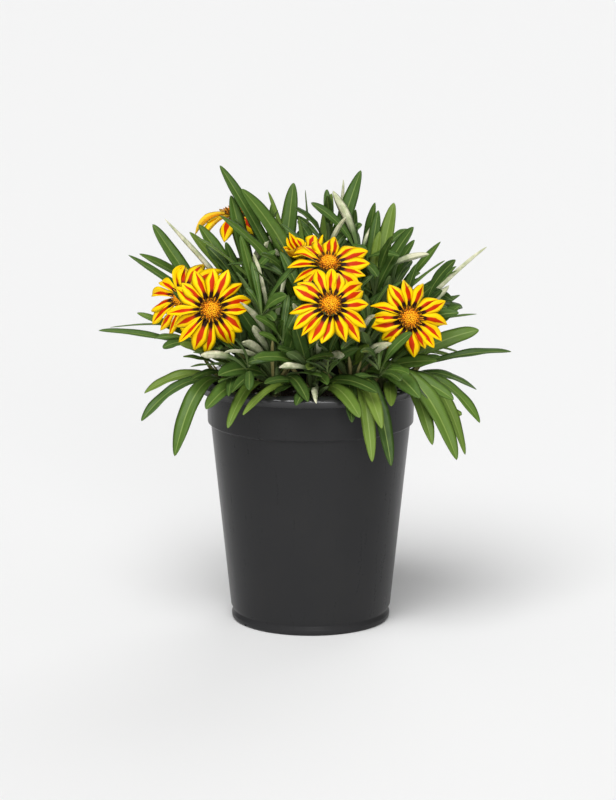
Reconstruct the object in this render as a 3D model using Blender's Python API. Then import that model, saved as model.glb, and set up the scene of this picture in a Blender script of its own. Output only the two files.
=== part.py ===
"""A gazania in flower, standing in its black plastic nursery pot.

Eleven leafy shoots rise from one bed of potting soil. Each shoot is one body: a short stem, its
strap-shaped leaves and the stalks of its flowers, each stalk ending in a green cup. Every flower head
adds a whorl of ray petals and a domed disc of florets. Units are metres, +Z is up, the viewer
stands at -Y, and the origin is the centre of the pot's underside.
"""

import math
import random

import bmesh
import bpy
from mathutils import Matrix, Vector, noise
from mathutils.bvhtree import BVHTree

MM = 0.001
GAP = 0.3 * MM
UP = Vector((0.0, 0.0, 1.0))
TO_VIEWER = Vector((0.0, -0.98, 0.2)).normalized()

# Pot
RIM_RADIUS = 87.0 * MM
RIM_TOP = 186.5 * MM
LIP_DROP = 3.4 * MM
LIP_SKIRT = 4.4 * MM
BAND_RADIUS = 78.4 * MM
BAND_FOOT_Z = 152.7 * MM
BODY_TOP_RADIUS = 75.4 * MM
BODY_FOOT_RADIUS = 60.9 * MM
BODY_FOOT_Z = 9.5 * MM
FOOT_RADIUS = 60.4 * MM
FOOT_HEIGHT = 6.0 * MM
WALL = 1.8 * MM
FLOOR_TOP = 4.2 * MM
POT_SIDES = 32
DRAIN_HOLES = 6
DRAIN_HOLE_RADIUS = 4.5 * MM
DRAIN_CIRCLE_RADIUS = 34.0 * MM
DRAIN_HOLE_SIDES = 12
CENTRE_PAD_RADIUS = 9.0 * MM
UNDERSIDE_RECESS = 1.6 * MM
FOOT_RING_INSIDE = 52.0 * MM
FOOT_NOTCH_RADIUS = 2.3 * MM
FOOT_NOTCH_LENGTH = 14.0 * MM
FOOT_NOTCH_ANGLES = (-145.0, 35.0)

# Soil
SOIL_TOP = 166.0 * MM
SOIL_SIDES = 24
SOIL_RELIEF = 2.2 * MM
SOIL_LUMPS_PER_METRE = 55.0
SOIL_RINGS = (0.9, 0.62, 0.3)
STEM_HOLE_TOP = SOIL_TOP + 9.0 * MM

# Shoots: where each stem stands, and the height of its growing tip, in millimetres
SHOOTS = (
    (0, 10, 216), (-35, 5, 205), (38, 5, 205), (-26, -30, 201), (29, -32, 201), (-28, 38, 207),
    (30, 38, 207), (2, -43, 198), (0, 54, 203), (54, -14, 199), (-52, -18, 199),
)
STEM_RADIUS = 3.5 * MM
STEM_HOLE_RADIUS = 4.2 * MM
STEM_SIDES = 8
STEM_FOOT_Z = 150.0 * MM
LEAF_ZONE = 23.0 * MM

# Leaves: outline as (share of the length, share of the full width), then the tip; a leaf that
# arches over the rim has one more section, and a narrow or inner one has one less
LEAF_OUTLINE = ((0.0, 0.24), (0.32, 0.42), (0.66, 1.0), (0.92, 0.74))
PLAIN_OUTLINE = ((0.0, 0.26), (0.42, 0.6), (0.84, 1.0))
NARROW_WIDTH = 6.2 * MM
ARCHED_OUTLINE = ((0.0, 0.24), (0.26, 0.36), (0.5, 0.76), (0.73, 1.0), (0.93, 0.7))
LEAF_ROOT_THICKNESS = 2.2 * MM
LEAF_THICKNESS = 1.3 * MM
LEAF_FOLD = 0.16
LEAF_WAVES = 11.0
ARCH_ARM = 0.48
ARCH_ARM_MORE = 0.34
ARCH_DROP = 60.0 * MM
CLEARANCE = 0.8 * MM
POT_CLEARANCE = 1.1 * MM
POT_PROBES = 4

# A leaf that meets something is bent aside, a little more at each try: turn about its root in
# radians, lift of its tip, share of its length given up, change of rise in degrees and of facing.
# The last tries let it pass through a leaf of its own shoot.
TRIES = 130
BEND_TURN = 0.34
BEND_LIFT = 22.0 * MM
BEND_SHORTER = 0.14
BEND_RISE = (-24.0, 16.0)
BEND_FACE = 0.5
APART_SHARE = 0.75

# Leaves that fill the bush: how many, how long and wide in millimetres, and the rounded outline that
# they stay in, as half widths and height in millimetres above its foot
FILL_PER_SHOOT = 6
REAR_FILL = 5
FRONT_FILL = 5
FRONT_LENGTH = (48.0, 80.0)
BUSH = (138.0, 118.0, 128.0)
BUSH_FOOT = 168.0
FILL_LENGTH = (78.0, 134.0)
FILL_WIDTH = (7.5, 11.5)
FRONT_Y = -45.0
FRONT_TOP = 224.0
GOLDEN_ANGLE = math.radians(137.5)

# The leaves that show, by shoot: tip x, y, z in millimetres, full width in millimetres, rise of the
# leaf at its root in degrees, and how far its upper side turns to the front (underside below zero)
LEAVES = (
    ((-68, 10, 345, 8.5, 66, 0.7), (-52, -5, 334, 11.5, 84, 0.7), (38, 30, 339, 10.5, 80, 0.7),
     (-84, -15, 294, 7, 66, 0.3), (-68, -10, 310, 9, 80, 0.5), (-42, -50, 276, 5.5, 74, 0.3),
     (-26, -25, 297, 5.5, 80, 0.3), (-9, 20, 305, 4.5, 84, 0.4), (-32, 20, 324, 4.5, 76, 0.5),
     (-22, -22, 264, 9, 84, 0.5), (26, -16, 254, 9, 84, 0.5)),
    ((-119, 15, 300, 10, 52, 0.7), (-84, 5, 301, 10.5, 72, 0.7), (-106, -25, 296, 5, 62, -0.7),
     (-137, 5, 278, 7, 48, 0.5), (-159, -10, 223, 6.5, 44, 0.4), (-131, 5, 234, 7, 44, 0.5),
     (-66, -12, 264, 9, 78, 0.5)),
    ((63, 25, 315, 10.5, 80, 0.7), (77, 0, 300, 11.5, 88, 0.5), (52, 10, 292, 7.5, 82, 0.6),
     (51, 20, 310, 8.5, 84, 0.7), (101, 5, 274, 5.5, 76, 0.2), (133, 15, 283, 6, 52, -0.7),
     (109, -5, 271, 7.5, 60, 0.5), (98, 10, 254, 6, 58, 0.6), (113, 15, 246, 6.5, 56, 0.5),
     (102, 10, 199, 5.5, 44, 0.3), (62, -18, 254, 9, 78, 0.5)),
    ((-52, -25, 297, 8, 82, 0.6), (-43, -30, 284, 5.5, 84, -0.5), (-17, -20, 287, 7.5, 88, -0.6),
     (-76, -90, 179, 12, 42, 0.4), (-57, -100, 193, 7, 50, 0.3), (-66, -100, 162, 8.5, 46, 0.4),
     (-2, -108, 188, 9, 52, 0.4), (-63, -85, 199, 13, 54, 0.5), (-63, -80, 219, 6.5, 58, -0.7),
     (-54, -75, 251, 6, 74, -0.7), (-46, -70, 243, 7, 70, -0.3), (-36, -65, 245, 7.5, 76, 0.4),
     (-20, -60, 240, 8.5, 76, 0.5), (-50, -64, 224, 9, 64, -0.5)),
    ((93, -55, 208, 10, 44, 0.6), (105, -60, 180, 11.5, 44, 0.6), (79, -95, 188, 14, 54, 0.6),
     (42, -108, 145, 9.5, 50, 0.4), (56, -106, 139, 10.5, 52, 0.3), (51, -112, 169, 10, 52, 0.5),
     (107, -75, 138, 13, 48, 0.6), (64, -80, 230, 8, 66, -0.6), (37, -70, 261, 6, 78, -0.3),
     (46, -88, 248, 6, 70, -0.6), (44, -70, 226, 9, 68, 0.6), (22, -58, 234, 8, 78, -0.4)),
    ((-13, 60, 326, 11.5, 82, 0.7), (-29, 45, 317, 6, 84, 0.5), (-92, 30, 292, 8, 66, 0.6),
     (-130, 25, 276, 8.5, 50, 0.5), (-152, 10, 222, 4, 44, 0.2), (-62, 70, 300, 9, 70, 0.5)),
    ((34, 25, 310, 8, 84, 0.6), (49, 35, 314, 8.5, 80, 0.6), (79, 30, 286, 9, 66, 0.6),
     (99, 35, 284, 7, 58, 0.5), (111, 10, 265, 4.5, 56, 0.3), (111, 30, 243, 8, 52, 0.2),
     (127, 30, 229, 4, 46, 0.2), (111, 20, 197, 5.5, 42, 0.4), (117, 30, 198, 4, 40, 0.2)),
    ((48, -105, 194, 10, 56, 0.5), (34, -110, 174, 11.5, 54, 0.5), (-49, -102, 177, 6, 46, 0.4),
     (-41, -100, 218, 10, 60, 0.5), (-2, -95, 209, 7.5, 66, 0.5), (12, -100, 199, 8.5, 56, 0.6),
     (5, -92, 228, 5.5, 72, -0.6), (4, -104, 186, 6, 54, -0.7), (-13, -80, 255, 6, 78, -0.3),
     (-24, -80, 222, 8, 66, 0.5), (24, -82, 218, 8, 66, -0.5)),
    ((-4, 40, 323, 5, 84, 0.5), (16, 50, 319, 10.5, 82, 0.7), (25, 45, 334, 5, 80, -0.7)),
    ((127, 5, 221, 11.5, 44, 0.7), (151, -5, 206, 7, 40, 0.4), (125, -15, 179, 7, 42, 0.4),
     (126, -35, 155, 9, 40, 0.5), (97, -20, 205, 7.5, 44, 0.4), (62, -86, 178, 9, 48, 0.4),
     (70, -88, 147, 10.5, 46, 0.4), (114, -46, 139, 9, 50, 0.5), (95, 0, 250, 7, 60, -0.6),
     (84, -42, 216, 9, 58, 0.5)),
    ((-124, -30, 179, 9, 42, 0.4), (-125, -55, 163, 9.5, 42, 0.4), (-100, -80, 144, 12, 44, 0.5),
     (-58, -95, 189, 6, 50, 0.4), (-97, -35, 217, 8, 50, 0.5), (-90, -25, 213, 10, 54, 0.4),
     (-52, -60, 232, 9, 72, 0.4), (-80, -50, 214, 9, 56, 0.5)),
)
# The lobed leaf, as (shoot, row in LEAVES), and its side lobes as (place along it, side, length)
LOBED_LEAF = (9, 7)
LOBES = ((0.56, 1, 17.0), (0.6, -1, 13.0), (0.72, 1, 17.0), (0.76, -1, 13.0))
LOBE_WIDTH = 5.0
LOBE_SPREAD = 0.8
LOBE_OUTLINE = ((0.0, 0.4), (0.55, 0.9), (0.82, 0.8))

# Flower heads: centre in millimetres, the way the head faces, radius in millimetres, height of the
# petals at their middle and at their tips, petal width, and the shoot that carries the stalk
HEADS = (
    ((-73, -64, 248), (0.14, -0.96, 0.16), 33.5, 4.5, -2.0, 9.8, 10),
    ((-94, -18, 248), (-0.42, -0.82, 0.38), 33.5, 4.5, -7.0, 9.8, 1),
    ((13, -46, 277), (0.04, -0.66, 0.75), 32.0, 4.0, 2.5, 9.6, 4),
    ((14, -98, 256), (0.02, -0.88, 0.48), 34.0, 4.0, -0.5, 9.8, 7),
    ((72, -60, 241), (0.1, -0.96, 0.22), 31.0, 4.5, 0.0, 9.4, 9),
    ((-57, 52, 301), (-0.06, -0.12, 0.98), 33.0, 4.5, -11.0, 9.8, 5),
    ((-6, -2, 279), (-0.2, -0.3, 0.93), 20.0, 6.0, 19.0, 6.4, 0),
)
PETALS = 16
PETAL_THICKNESS = 1.1 * MM
PETAL_OUTLINE = ((0.3, 0.54), (0.66, 1.0))
PETAL_ROLL = math.radians(14.0)
PLATE_RADIUS = 7.2 * MM
PLATE_THICKNESS = 1.6 * MM
DISC_FOOT_RADIUS = 6.2 * MM
DISC_RADIUS = 8.2 * MM
DISC_HEIGHT = 5.2 * MM
DISC_FLORETS = 12
FULL_HEAD_RADIUS = 30.0
CUP_RADIUS = 5.4 * MM
CUP_LENGTH = 10.0 * MM
STALK_RADIUS = 1.7 * MM
STALK_SIDES = 6
STALK_STEPS = 6


def clear_scene():
    for item in list(bpy.data.objects):
        bpy.data.objects.remove(item, do_unlink=True)


def make_material(name, colour, roughness):
    material = bpy.data.materials.new(name)
    material.use_nodes = True
    shader = material.node_tree.nodes["Principled BSDF"]
    shader.inputs["Base Color"].default_value = (*colour, 1.0)
    shader.inputs["Roughness"].default_value = roughness
    shader.inputs["Metallic"].default_value = 0.0
    return material


def add_object(name, mesh, material):
    item = bpy.data.objects.new(name, mesh)
    bpy.context.scene.collection.objects.link(item)
    mesh.materials.clear()
    mesh.materials.append(material)
    return item


def mesh_from(name, verts, faces):
    """A closed mesh from corners and faces, with its faces turned outwards."""
    bm = bmesh.new()
    corners = [bm.verts.new(v) for v in verts]
    for face in faces:
        bm.faces.new([corners[i] for i in face])
    bmesh.ops.recalc_face_normals(bm, faces=bm.faces)
    mesh = bpy.data.meshes.new(name)
    bm.to_mesh(mesh)
    bm.free()
    return mesh


def turned_mesh(name, profile, sides):
    """A solid turned round the Z axis from a profile that starts and ends on it."""
    bm = bmesh.new()
    corners = [bm.verts.new((r, 0.0, z)) for r, z in profile]
    edges = [bm.edges.new(pair) for pair in zip(corners, corners[1:])]
    bmesh.ops.spin(bm, geom=corners + edges, cent=(0, 0, 0), axis=(0, 0, 1), angle=math.tau,
                   steps=sides, use_merge=True)
    bmesh.ops.remove_doubles(bm, verts=bm.verts, dist=1e-6)
    bmesh.ops.recalc_face_normals(bm, faces=bm.faces)
    mesh = bpy.data.meshes.new(name)
    bm.to_mesh(mesh)
    bm.free()
    return mesh


def largest_shell(mesh):
    """Keeps the biggest connected shell of a mesh, and drops loose scraps and sealed hollows."""
    bm = bmesh.new()
    bm.from_mesh(mesh)
    bmesh.ops.dissolve_degenerate(bm, edges=bm.edges, dist=1e-6)
    bmesh.ops.triangulate(bm, faces=bm.faces)
    waiting = set(bm.faces)
    shells = []
    while waiting:
        front = [waiting.pop()]
        shell = list(front)
        while front:
            near = {f for edge in front.pop().edges for f in edge.link_faces if f in waiting}
            waiting -= near
            front.extend(near)
            shell.extend(near)
        shells.append(shell)
    shells.sort(key=len)
    scraps = [face for shell in shells[:-1] for face in shell]
    bmesh.ops.delete(bm, geom=scraps, context="FACES")
    bm.to_mesh(mesh)
    bm.free()


def is_sound(mesh):
    """Whether every edge of a mesh joins exactly two faces."""
    bm = bmesh.new()
    bm.from_mesh(mesh)
    sound = len(bm.faces) > 0 and all(len(edge.link_faces) == 2 for edge in bm.edges)
    bm.free()
    return sound


def combine(base, tools, operation):
    """Applies one Boolean of a base object with a list of closed tool objects, then drops them.

    The second solver is only for a join that the first leaves unsound.
    """
    group = bpy.data.collections.new(base.name + "_tools")
    bpy.context.scene.collection.children.link(group)
    for tool in tools:
        bpy.context.scene.collection.objects.unlink(tool)
        group.objects.link(tool)
    boolean = base.modifiers.new("join", "BOOLEAN")
    boolean.operation = operation
    boolean.operand_type = "COLLECTION"
    boolean.collection = group
    for solver in ("EXACT", "MANIFOLD"):
        boolean.solver = solver
        graph = bpy.context.evaluated_depsgraph_get()
        result = bpy.data.meshes.new_from_object(base.evaluated_get(graph))
        largest_shell(result)
        if is_sound(result):
            break
    base.modifiers.clear()
    base.data = result
    for tool in tools:
        bpy.data.objects.remove(tool, do_unlink=True)
    bpy.data.collections.remove(group)
    return base


def shade(item, angle_degrees):
    item.data.shade_smooth()
    item.data.set_sharp_from_angle(angle=math.radians(angle_degrees))


def pot_profile():
    """The pot's section: pad, recessed floor, foot, groove, body, step, band, lip and inner wall."""
    skirt_z = RIM_TOP - LIP_DROP - LIP_SKIRT
    outside = [
        (0.0, 0.0), (CENTRE_PAD_RADIUS, 0.0), (CENTRE_PAD_RADIUS + 1.5 * MM, UNDERSIDE_RECESS),
        (FOOT_RING_INSIDE - 2.0 * MM, UNDERSIDE_RECESS), (FOOT_RING_INSIDE, 0.0),
        (FOOT_RADIUS - 1.6 * MM, 0.0), (FOOT_RADIUS - 0.2 * MM, 1.6 * MM),
        (FOOT_RADIUS, 4.2 * MM), (FOOT_RADIUS - 1.4 * MM, FOOT_HEIGHT + 1.2 * MM),
        (BODY_FOOT_RADIUS, BODY_FOOT_Z + 1.5 * MM),
        (BODY_TOP_RADIUS, BAND_FOOT_Z - 1.6 * MM), (BAND_RADIUS - 0.6 * MM, BAND_FOOT_Z),
        (BAND_RADIUS + 0.3 * MM, skirt_z + 2.8 * MM), (RIM_RADIUS - 1.6 * MM, skirt_z),
        (RIM_RADIUS - 0.3 * MM, skirt_z), (RIM_RADIUS, RIM_TOP - LIP_DROP),
        (RIM_RADIUS - 1.6 * MM, RIM_TOP - LIP_DROP + 1.6 * MM),
    ]
    inside = [
        (RIM_RADIUS - 6.8 * MM, RIM_TOP), (BAND_RADIUS - WALL + 0.8 * MM, RIM_TOP - 1.2 * MM),
        (BAND_RADIUS - WALL, RIM_TOP - 4.0 * MM),
        (BAND_RADIUS - WALL - 0.2 * MM, BAND_FOOT_Z + 2.4 * MM),
        (BODY_TOP_RADIUS - WALL, BAND_FOOT_Z - 1.4 * MM),
        (BODY_FOOT_RADIUS - WALL - 0.2 * MM, BODY_FOOT_Z), (BODY_FOOT_RADIUS - 4.5 * MM, FLOOR_TOP),
        (0.0, FLOOR_TOP),
    ]
    return outside + inside


def drill(name, radius, bottom, top, x, y, sides):
    """A vertical cutter."""
    bm = bmesh.new()
    bmesh.ops.create_cone(bm, cap_ends=True, segments=sides, radius1=radius, radius2=radius,
                          depth=top - bottom)
    bmesh.ops.translate(bm, verts=bm.verts, vec=(x, y, (top + bottom) / 2.0))
    mesh = bpy.data.meshes.new(name)
    bm.to_mesh(mesh)
    bm.free()
    cutter = bpy.data.objects.new(name, mesh)
    bpy.context.scene.collection.objects.link(cutter)
    return cutter


def foot_notch(angle_degrees):
    """A cutter for the water notch in the foot's lower edge, lying along a radius."""
    bm = bmesh.new()
    bmesh.ops.create_cone(bm, cap_ends=True, segments=10, radius1=FOOT_NOTCH_RADIUS,
                          radius2=FOOT_NOTCH_RADIUS, depth=FOOT_NOTCH_LENGTH)
    bmesh.ops.rotate(bm, verts=bm.verts, matrix=Matrix.Rotation(math.pi / 2, 3, "Y"))
    bmesh.ops.translate(bm, verts=bm.verts, vec=(FOOT_RADIUS, 0.0, 0.0))
    bmesh.ops.rotate(bm, verts=bm.verts, matrix=Matrix.Rotation(math.radians(angle_degrees), 3, "Z"))
    mesh = bpy.data.meshes.new("notch_cutter")
    bm.to_mesh(mesh)
    bm.free()
    cutter = bpy.data.objects.new("notch_cutter", mesh)
    bpy.context.scene.collection.objects.link(cutter)
    return cutter


def make_pot(material):
    pot = add_object("nursery_pot", turned_mesh("nursery_pot", pot_profile(), POT_SIDES), material)
    cutters = [foot_notch(angle) for angle in FOOT_NOTCH_ANGLES]
    for index in range(DRAIN_HOLES):
        angle = math.tau * (index + 0.5) / DRAIN_HOLES
        x = DRAIN_CIRCLE_RADIUS * math.cos(angle)
        y = DRAIN_CIRCLE_RADIUS * math.sin(angle)
        cutters.append(drill("drain_cutter", DRAIN_HOLE_RADIUS, -FLOOR_TOP, 2.0 * FLOOR_TOP, x, y,
                             DRAIN_HOLE_SIDES))
    combine(pot, cutters, "DIFFERENCE")
    pot.data.materials.clear()
    pot.data.materials.append(material)
    shade(pot, 35.0)


def soil_height(x, y):
    """The crumbly surface of the soil."""
    return SOIL_TOP + SOIL_RELIEF * noise.noise(Vector((x, y, 0.0)) * SOIL_LUMPS_PER_METRE)


def make_soil(material):
    edge = BAND_RADIUS - WALL - 0.2 * MM - GAP - 0.3 * MM
    profile = [
        (0.0, FLOOR_TOP + GAP), (BODY_FOOT_RADIUS - 5.2 * MM, FLOOR_TOP + GAP),
        (BODY_FOOT_RADIUS - WALL - 1.0 * MM, BODY_FOOT_Z + 0.6 * MM),
        (BODY_TOP_RADIUS - WALL - 0.8 * MM, BAND_FOOT_Z - 1.4 * MM),
        (edge, BAND_FOOT_Z + 2.8 * MM), (edge, SOIL_TOP - 1.0 * MM),
    ]
    rings = [(edge * share, SOIL_TOP) for share in SOIL_RINGS]
    mesh = turned_mesh("potting_soil", profile + rings + [(0.0, SOIL_TOP)], SOIL_SIDES)
    for vertex in mesh.vertices:
        if vertex.co.z > SOIL_TOP - 0.1 * MM:
            vertex.co.z = soil_height(vertex.co.x, vertex.co.y)
    soil = add_object("potting_soil", mesh, material)
    cutters = []
    for x, y, top in SHOOTS:
        cutters.append(drill("hole_cutter", STEM_HOLE_RADIUS, STEM_FOOT_Z - GAP, STEM_HOLE_TOP,
                             x * MM, y * MM, STEM_SIDES))
    combine(soil, cutters, "DIFFERENCE")
    soil.data.materials.clear()
    soil.data.materials.append(material)


def bezier(points, t):
    """A point on the curve that the control points give."""
    while len(points) > 1:
        points = [a.lerp(b, t) for a, b in zip(points, points[1:])]
    return points[0]


def square_to(vector, axis):
    """The part of a vector that stands square to an axis, at unit length."""
    flat = vector - axis * vector.dot(axis)
    return flat.normalized() if flat.length > 1e-6 else axis.orthogonal().normalized()


def blade(stations, tip, swell=0.0):
    """A closed blade: lens-shaped sections carried along a spine and drawn to a point at the tip.

    Each station is (point, side, normal, width, thickness, raise of the left edge, of the right edge).
    Both faces are split into triangles alike, so a waved blade stays closed and sound.
    """
    verts = []
    for point, side, normal, width, thickness, left, right in stations:
        half = width / 2.0 + swell
        verts.append(point - side * half + normal * left)
        verts.append(point + normal * (thickness / 2.0 + swell))
        verts.append(point + side * half + normal * right)
        verts.append(point - normal * (thickness / 2.0 + swell))
    last = stations[-1][0]
    verts.append(tip + (tip - last).normalized() * swell)
    faces = [(0, 1, 3), (1, 2, 3)]
    for index in range(len(stations) - 1):
        a = 4 * index
        b = a + 4
        for edge, ridge in ((0, 1), (2, 1), (2, 3), (0, 3)):
            faces.append((a + edge, a + ridge, b + ridge))
            faces.append((a + edge, b + ridge, b + edge))
    end = len(verts) - 1
    a = end - 4
    faces += [(a, a + 1, end), (a + 1, a + 2, end), (a + 2, a + 3, end), (a + 3, a, end)]
    return verts, faces


def leaf_curve(leaf):
    """Control points of a leaf's spine: it leaves the stem at its own rise and bends to its tip."""
    root, tip = leaf["root"], leaf["tip"]
    flat = Vector((tip.x - root.x, tip.y - root.y, 0.0))
    rise = math.radians(leaf["rise"])
    length = (tip - root).length
    drop = max(0.0, min(1.0, (root.z - tip.z) / ARCH_DROP + 1.0 / 3.0))
    arm = length * (ARCH_ARM + ARCH_ARM_MORE * drop)
    middle = root + flat.normalized() * (arm * math.cos(rise)) + UP * (arm * math.sin(rise))
    return [root, middle, tip]


def leaf_outline(leaf):
    if leaf["root"].z + 6.0 * MM > leaf["tip"].z:
        return ARCHED_OUTLINE
    plain = leaf["width"] < NARROW_WIDTH or not leaf["key"]
    return PLAIN_OUTLINE if plain else LEAF_OUTLINE


def leaf_stations(leaf):
    curve = leaf_curve(leaf)
    width = leaf["width"]
    stations = []
    for share, breadth in leaf_outline(leaf):
        point = bezier(curve, share)
        ahead = (bezier(curve, share + 0.01) - point).normalized()
        natural = square_to(UP, ahead)
        shown = square_to(TO_VIEWER * math.copysign(1.0, leaf["face"]), ahead)
        turn = abs(leaf["face"]) * min(1.0, share * 2.0)
        normal = square_to(natural.lerp(shown, turn), ahead)
        side = ahead.cross(normal)
        half = width * breadth / 2.0
        wave = leaf["wave"] * half * math.sin(leaf["phase"] + share * LEAF_WAVES)
        fold = leaf["fold"] * half
        thick = LEAF_ROOT_THICKNESS + (LEAF_THICKNESS - LEAF_ROOT_THICKNESS) * min(1.0, share * 2.0)
        stations.append((point, side, normal, width * breadth, thick, fold + wave, fold - wave))
    return stations


def leaf_mesh(leaf, swell=0.0, start=0):
    return blade(leaf_stations(leaf)[start:], leaf["tip"], swell)


def lobe_blades(leaf):
    """The side lobes of a cut leaf, as (stations, tip)."""
    curve = leaf_curve(leaf)
    lobes = []
    for share, hand, length in leaf["lobes"]:
        point = bezier(curve, share)
        ahead = (bezier(curve, share + 0.01) - point).normalized()
        normal = square_to(UP.lerp(TO_VIEWER, 0.5), ahead)
        way = (ahead + ahead.cross(normal) * (hand * LOBE_SPREAD)).normalized()
        tip = point + way * (length * MM)
        edge = way.cross(normal)
        stations = []
        for part, breadth in LOBE_OUTLINE:
            stations.append((point.lerp(tip, part), edge, normal, LOBE_WIDTH * breadth * MM,
                             LEAF_THICKNESS, 0.0, 0.0))
        lobes.append((stations, tip))
    return lobes


def leaf_shapes(leaf):
    """A leaf as closed shapes: its blade, and the side lobes of a cut leaf."""
    return [leaf_mesh(leaf)] + [blade(stations, tip) for stations, tip in lobe_blades(leaf)]


def new_leaf(shoot, key, tip, width, rise, face, rng):
    return {
        "shoot": shoot, "key": key, "tip": Vector(tip) * MM, "width": width * MM, "rise": rise,
        "face": face,
        "fold": LEAF_FOLD * rng.uniform(-0.4, 1.6), "wave": rng.uniform(0.04, 0.2),
        "phase": rng.uniform(0.0, math.tau), "lobes": (),
    }


def meets_pot(point):
    """Whether a point lies in the pot's wall or lip, or in the soil, or too close to them."""
    radius = math.hypot(point.x, point.y)
    if radius < BAND_RADIUS - WALL - POT_CLEARANCE:
        return point.z < SOIL_TOP + SOIL_RELIEF + POT_CLEARANCE
    if radius < RIM_RADIUS + POT_CLEARANCE:
        under_lip = point.z < RIM_TOP - LIP_DROP - LIP_SKIRT - POT_CLEARANCE
        beside_band = under_lip and radius > BAND_RADIUS + 2.0 * POT_CLEARANCE
        return point.z < RIM_TOP + POT_CLEARANCE and not beside_band
    return False


def blade_meets_pot(stations, tip):
    """Whether a blade's spine or edges come too close to the pot or the soil anywhere on their way."""
    rows = []
    for point, side, normal, width, _, left, right in stations:
        half = side * (width / 2.0)
        rows.append((point - half + normal * left, point, point + half + normal * right))
    rows.append((tip, tip, tip))
    for near, far in zip(rows, rows[1:]):
        for probe in range(POT_PROBES + 1):
            if any(meets_pot(a.lerp(b, probe / POT_PROBES)) for a, b in zip(near, far)):
                return True
    return False


def tree_of(verts, faces):
    return BVHTree.FromPolygons(verts, faces, all_triangles=False)


def box_of(verts):
    low = [min(v[axis] for v in verts) for axis in range(3)]
    high = [max(v[axis] for v in verts) for axis in range(3)]
    return low, high


def boxes_meet(a, b):
    return all(a[0][axis] <= b[1][axis] and b[0][axis] <= a[1][axis] for axis in range(3))


def obstacle(verts, faces, shoot):
    return {"tree": tree_of(verts, faces), "box": box_of(verts), "shoot": shoot}


def leaf_is_clear(leaf, obstacles, same_too):
    """Whether a leaf keeps its distance from the pot, the soil and everything already placed."""
    if blade_meets_pot(leaf_stations(leaf)[1:], leaf["tip"]):
        return False
    if any(blade_meets_pot(stations, tip) for stations, tip in lobe_blades(leaf)):
        return False
    verts, faces = leaf_mesh(leaf, CLEARANCE)
    box = box_of(verts)
    tree = tree_of(verts, faces)
    free_verts, free_faces = leaf_mesh(leaf, CLEARANCE / 2.0, 1)
    free_tree = tree_of(free_verts, free_faces)
    for item in obstacles:
        if not boxes_meet(box, item["box"]):
            continue
        if item["shoot"] == leaf["shoot"]:
            if same_too and free_tree.overlap(item["tree"]):
                return False
        elif tree.overlap(item["tree"]):
            return False
    return True


def bend_clear(leaf, obstacles, rng, tries):
    """Bends a leaf a little, then further, until it crosses nothing; gives None if it never does."""
    for attempt in range(tries):
        reach = attempt / tries
        trial = dict(leaf)
        if attempt:
            away = leaf["tip"] - leaf["root"]
            turn = Matrix.Rotation(rng.uniform(-BEND_TURN, BEND_TURN) * reach, 3, "Z")
            lift = UP * (rng.uniform(-BEND_LIFT, BEND_LIFT) * reach)
            shorter = 1.0 - rng.uniform(0.0, BEND_SHORTER) * reach
            trial["tip"] = leaf["root"] + turn @ (away * shorter) + lift
            trial["rise"] = leaf["rise"] + rng.uniform(*BEND_RISE) * reach
            trial["face"] = leaf["face"] + rng.uniform(-BEND_FACE, BEND_FACE) * reach
        if leaf_is_clear(trial, obstacles, attempt < tries * APART_SHARE):
            return trial
    return None


def stem_mesh(x, y, top):
    """A round stem with a blunt tip, standing in its hole in the soil."""
    profile = [
        (STEM_FOOT_Z, STEM_RADIUS), (SOIL_TOP + 4 * MM, STEM_RADIUS), (top * MM - 8 * MM, STEM_RADIUS),
        (top * MM - 1.5 * MM, STEM_RADIUS * 0.75), (top * MM, STEM_RADIUS * 0.3),
    ]
    sides = STEM_SIDES
    verts = []
    for z, radius in profile:
        for index in range(sides):
            angle = math.tau * index / sides
            verts.append(Vector((x * MM + radius * math.cos(angle), y * MM + radius * math.sin(angle), z)))
    return verts, tube_faces(len(profile), sides)


def tube_faces(rings, sides):
    """Faces of a tube whose rings of corners follow one another, with both ends closed."""
    faces = [tuple(reversed(range(sides)))]
    for ring in range(rings - 1):
        a = ring * sides
        for index in range(sides):
            after = (index + 1) % sides
            faces.append((a + index, a + after, a + sides + after))
            faces.append((a + index, a + sides + after, a + sides + index))
    faces.append(tuple(range((rings - 1) * sides, rings * sides)))
    return faces


def head_matrix(head):
    centre, facing = Vector(head[0]) * MM, Vector(head[1]).normalized()
    side = square_to(Vector((1.0, 0.0, 0.0)), facing)
    up = facing.cross(side)
    matrix = Matrix((side, up, facing)).transposed().to_4x4()
    matrix.translation = centre
    return matrix


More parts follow.
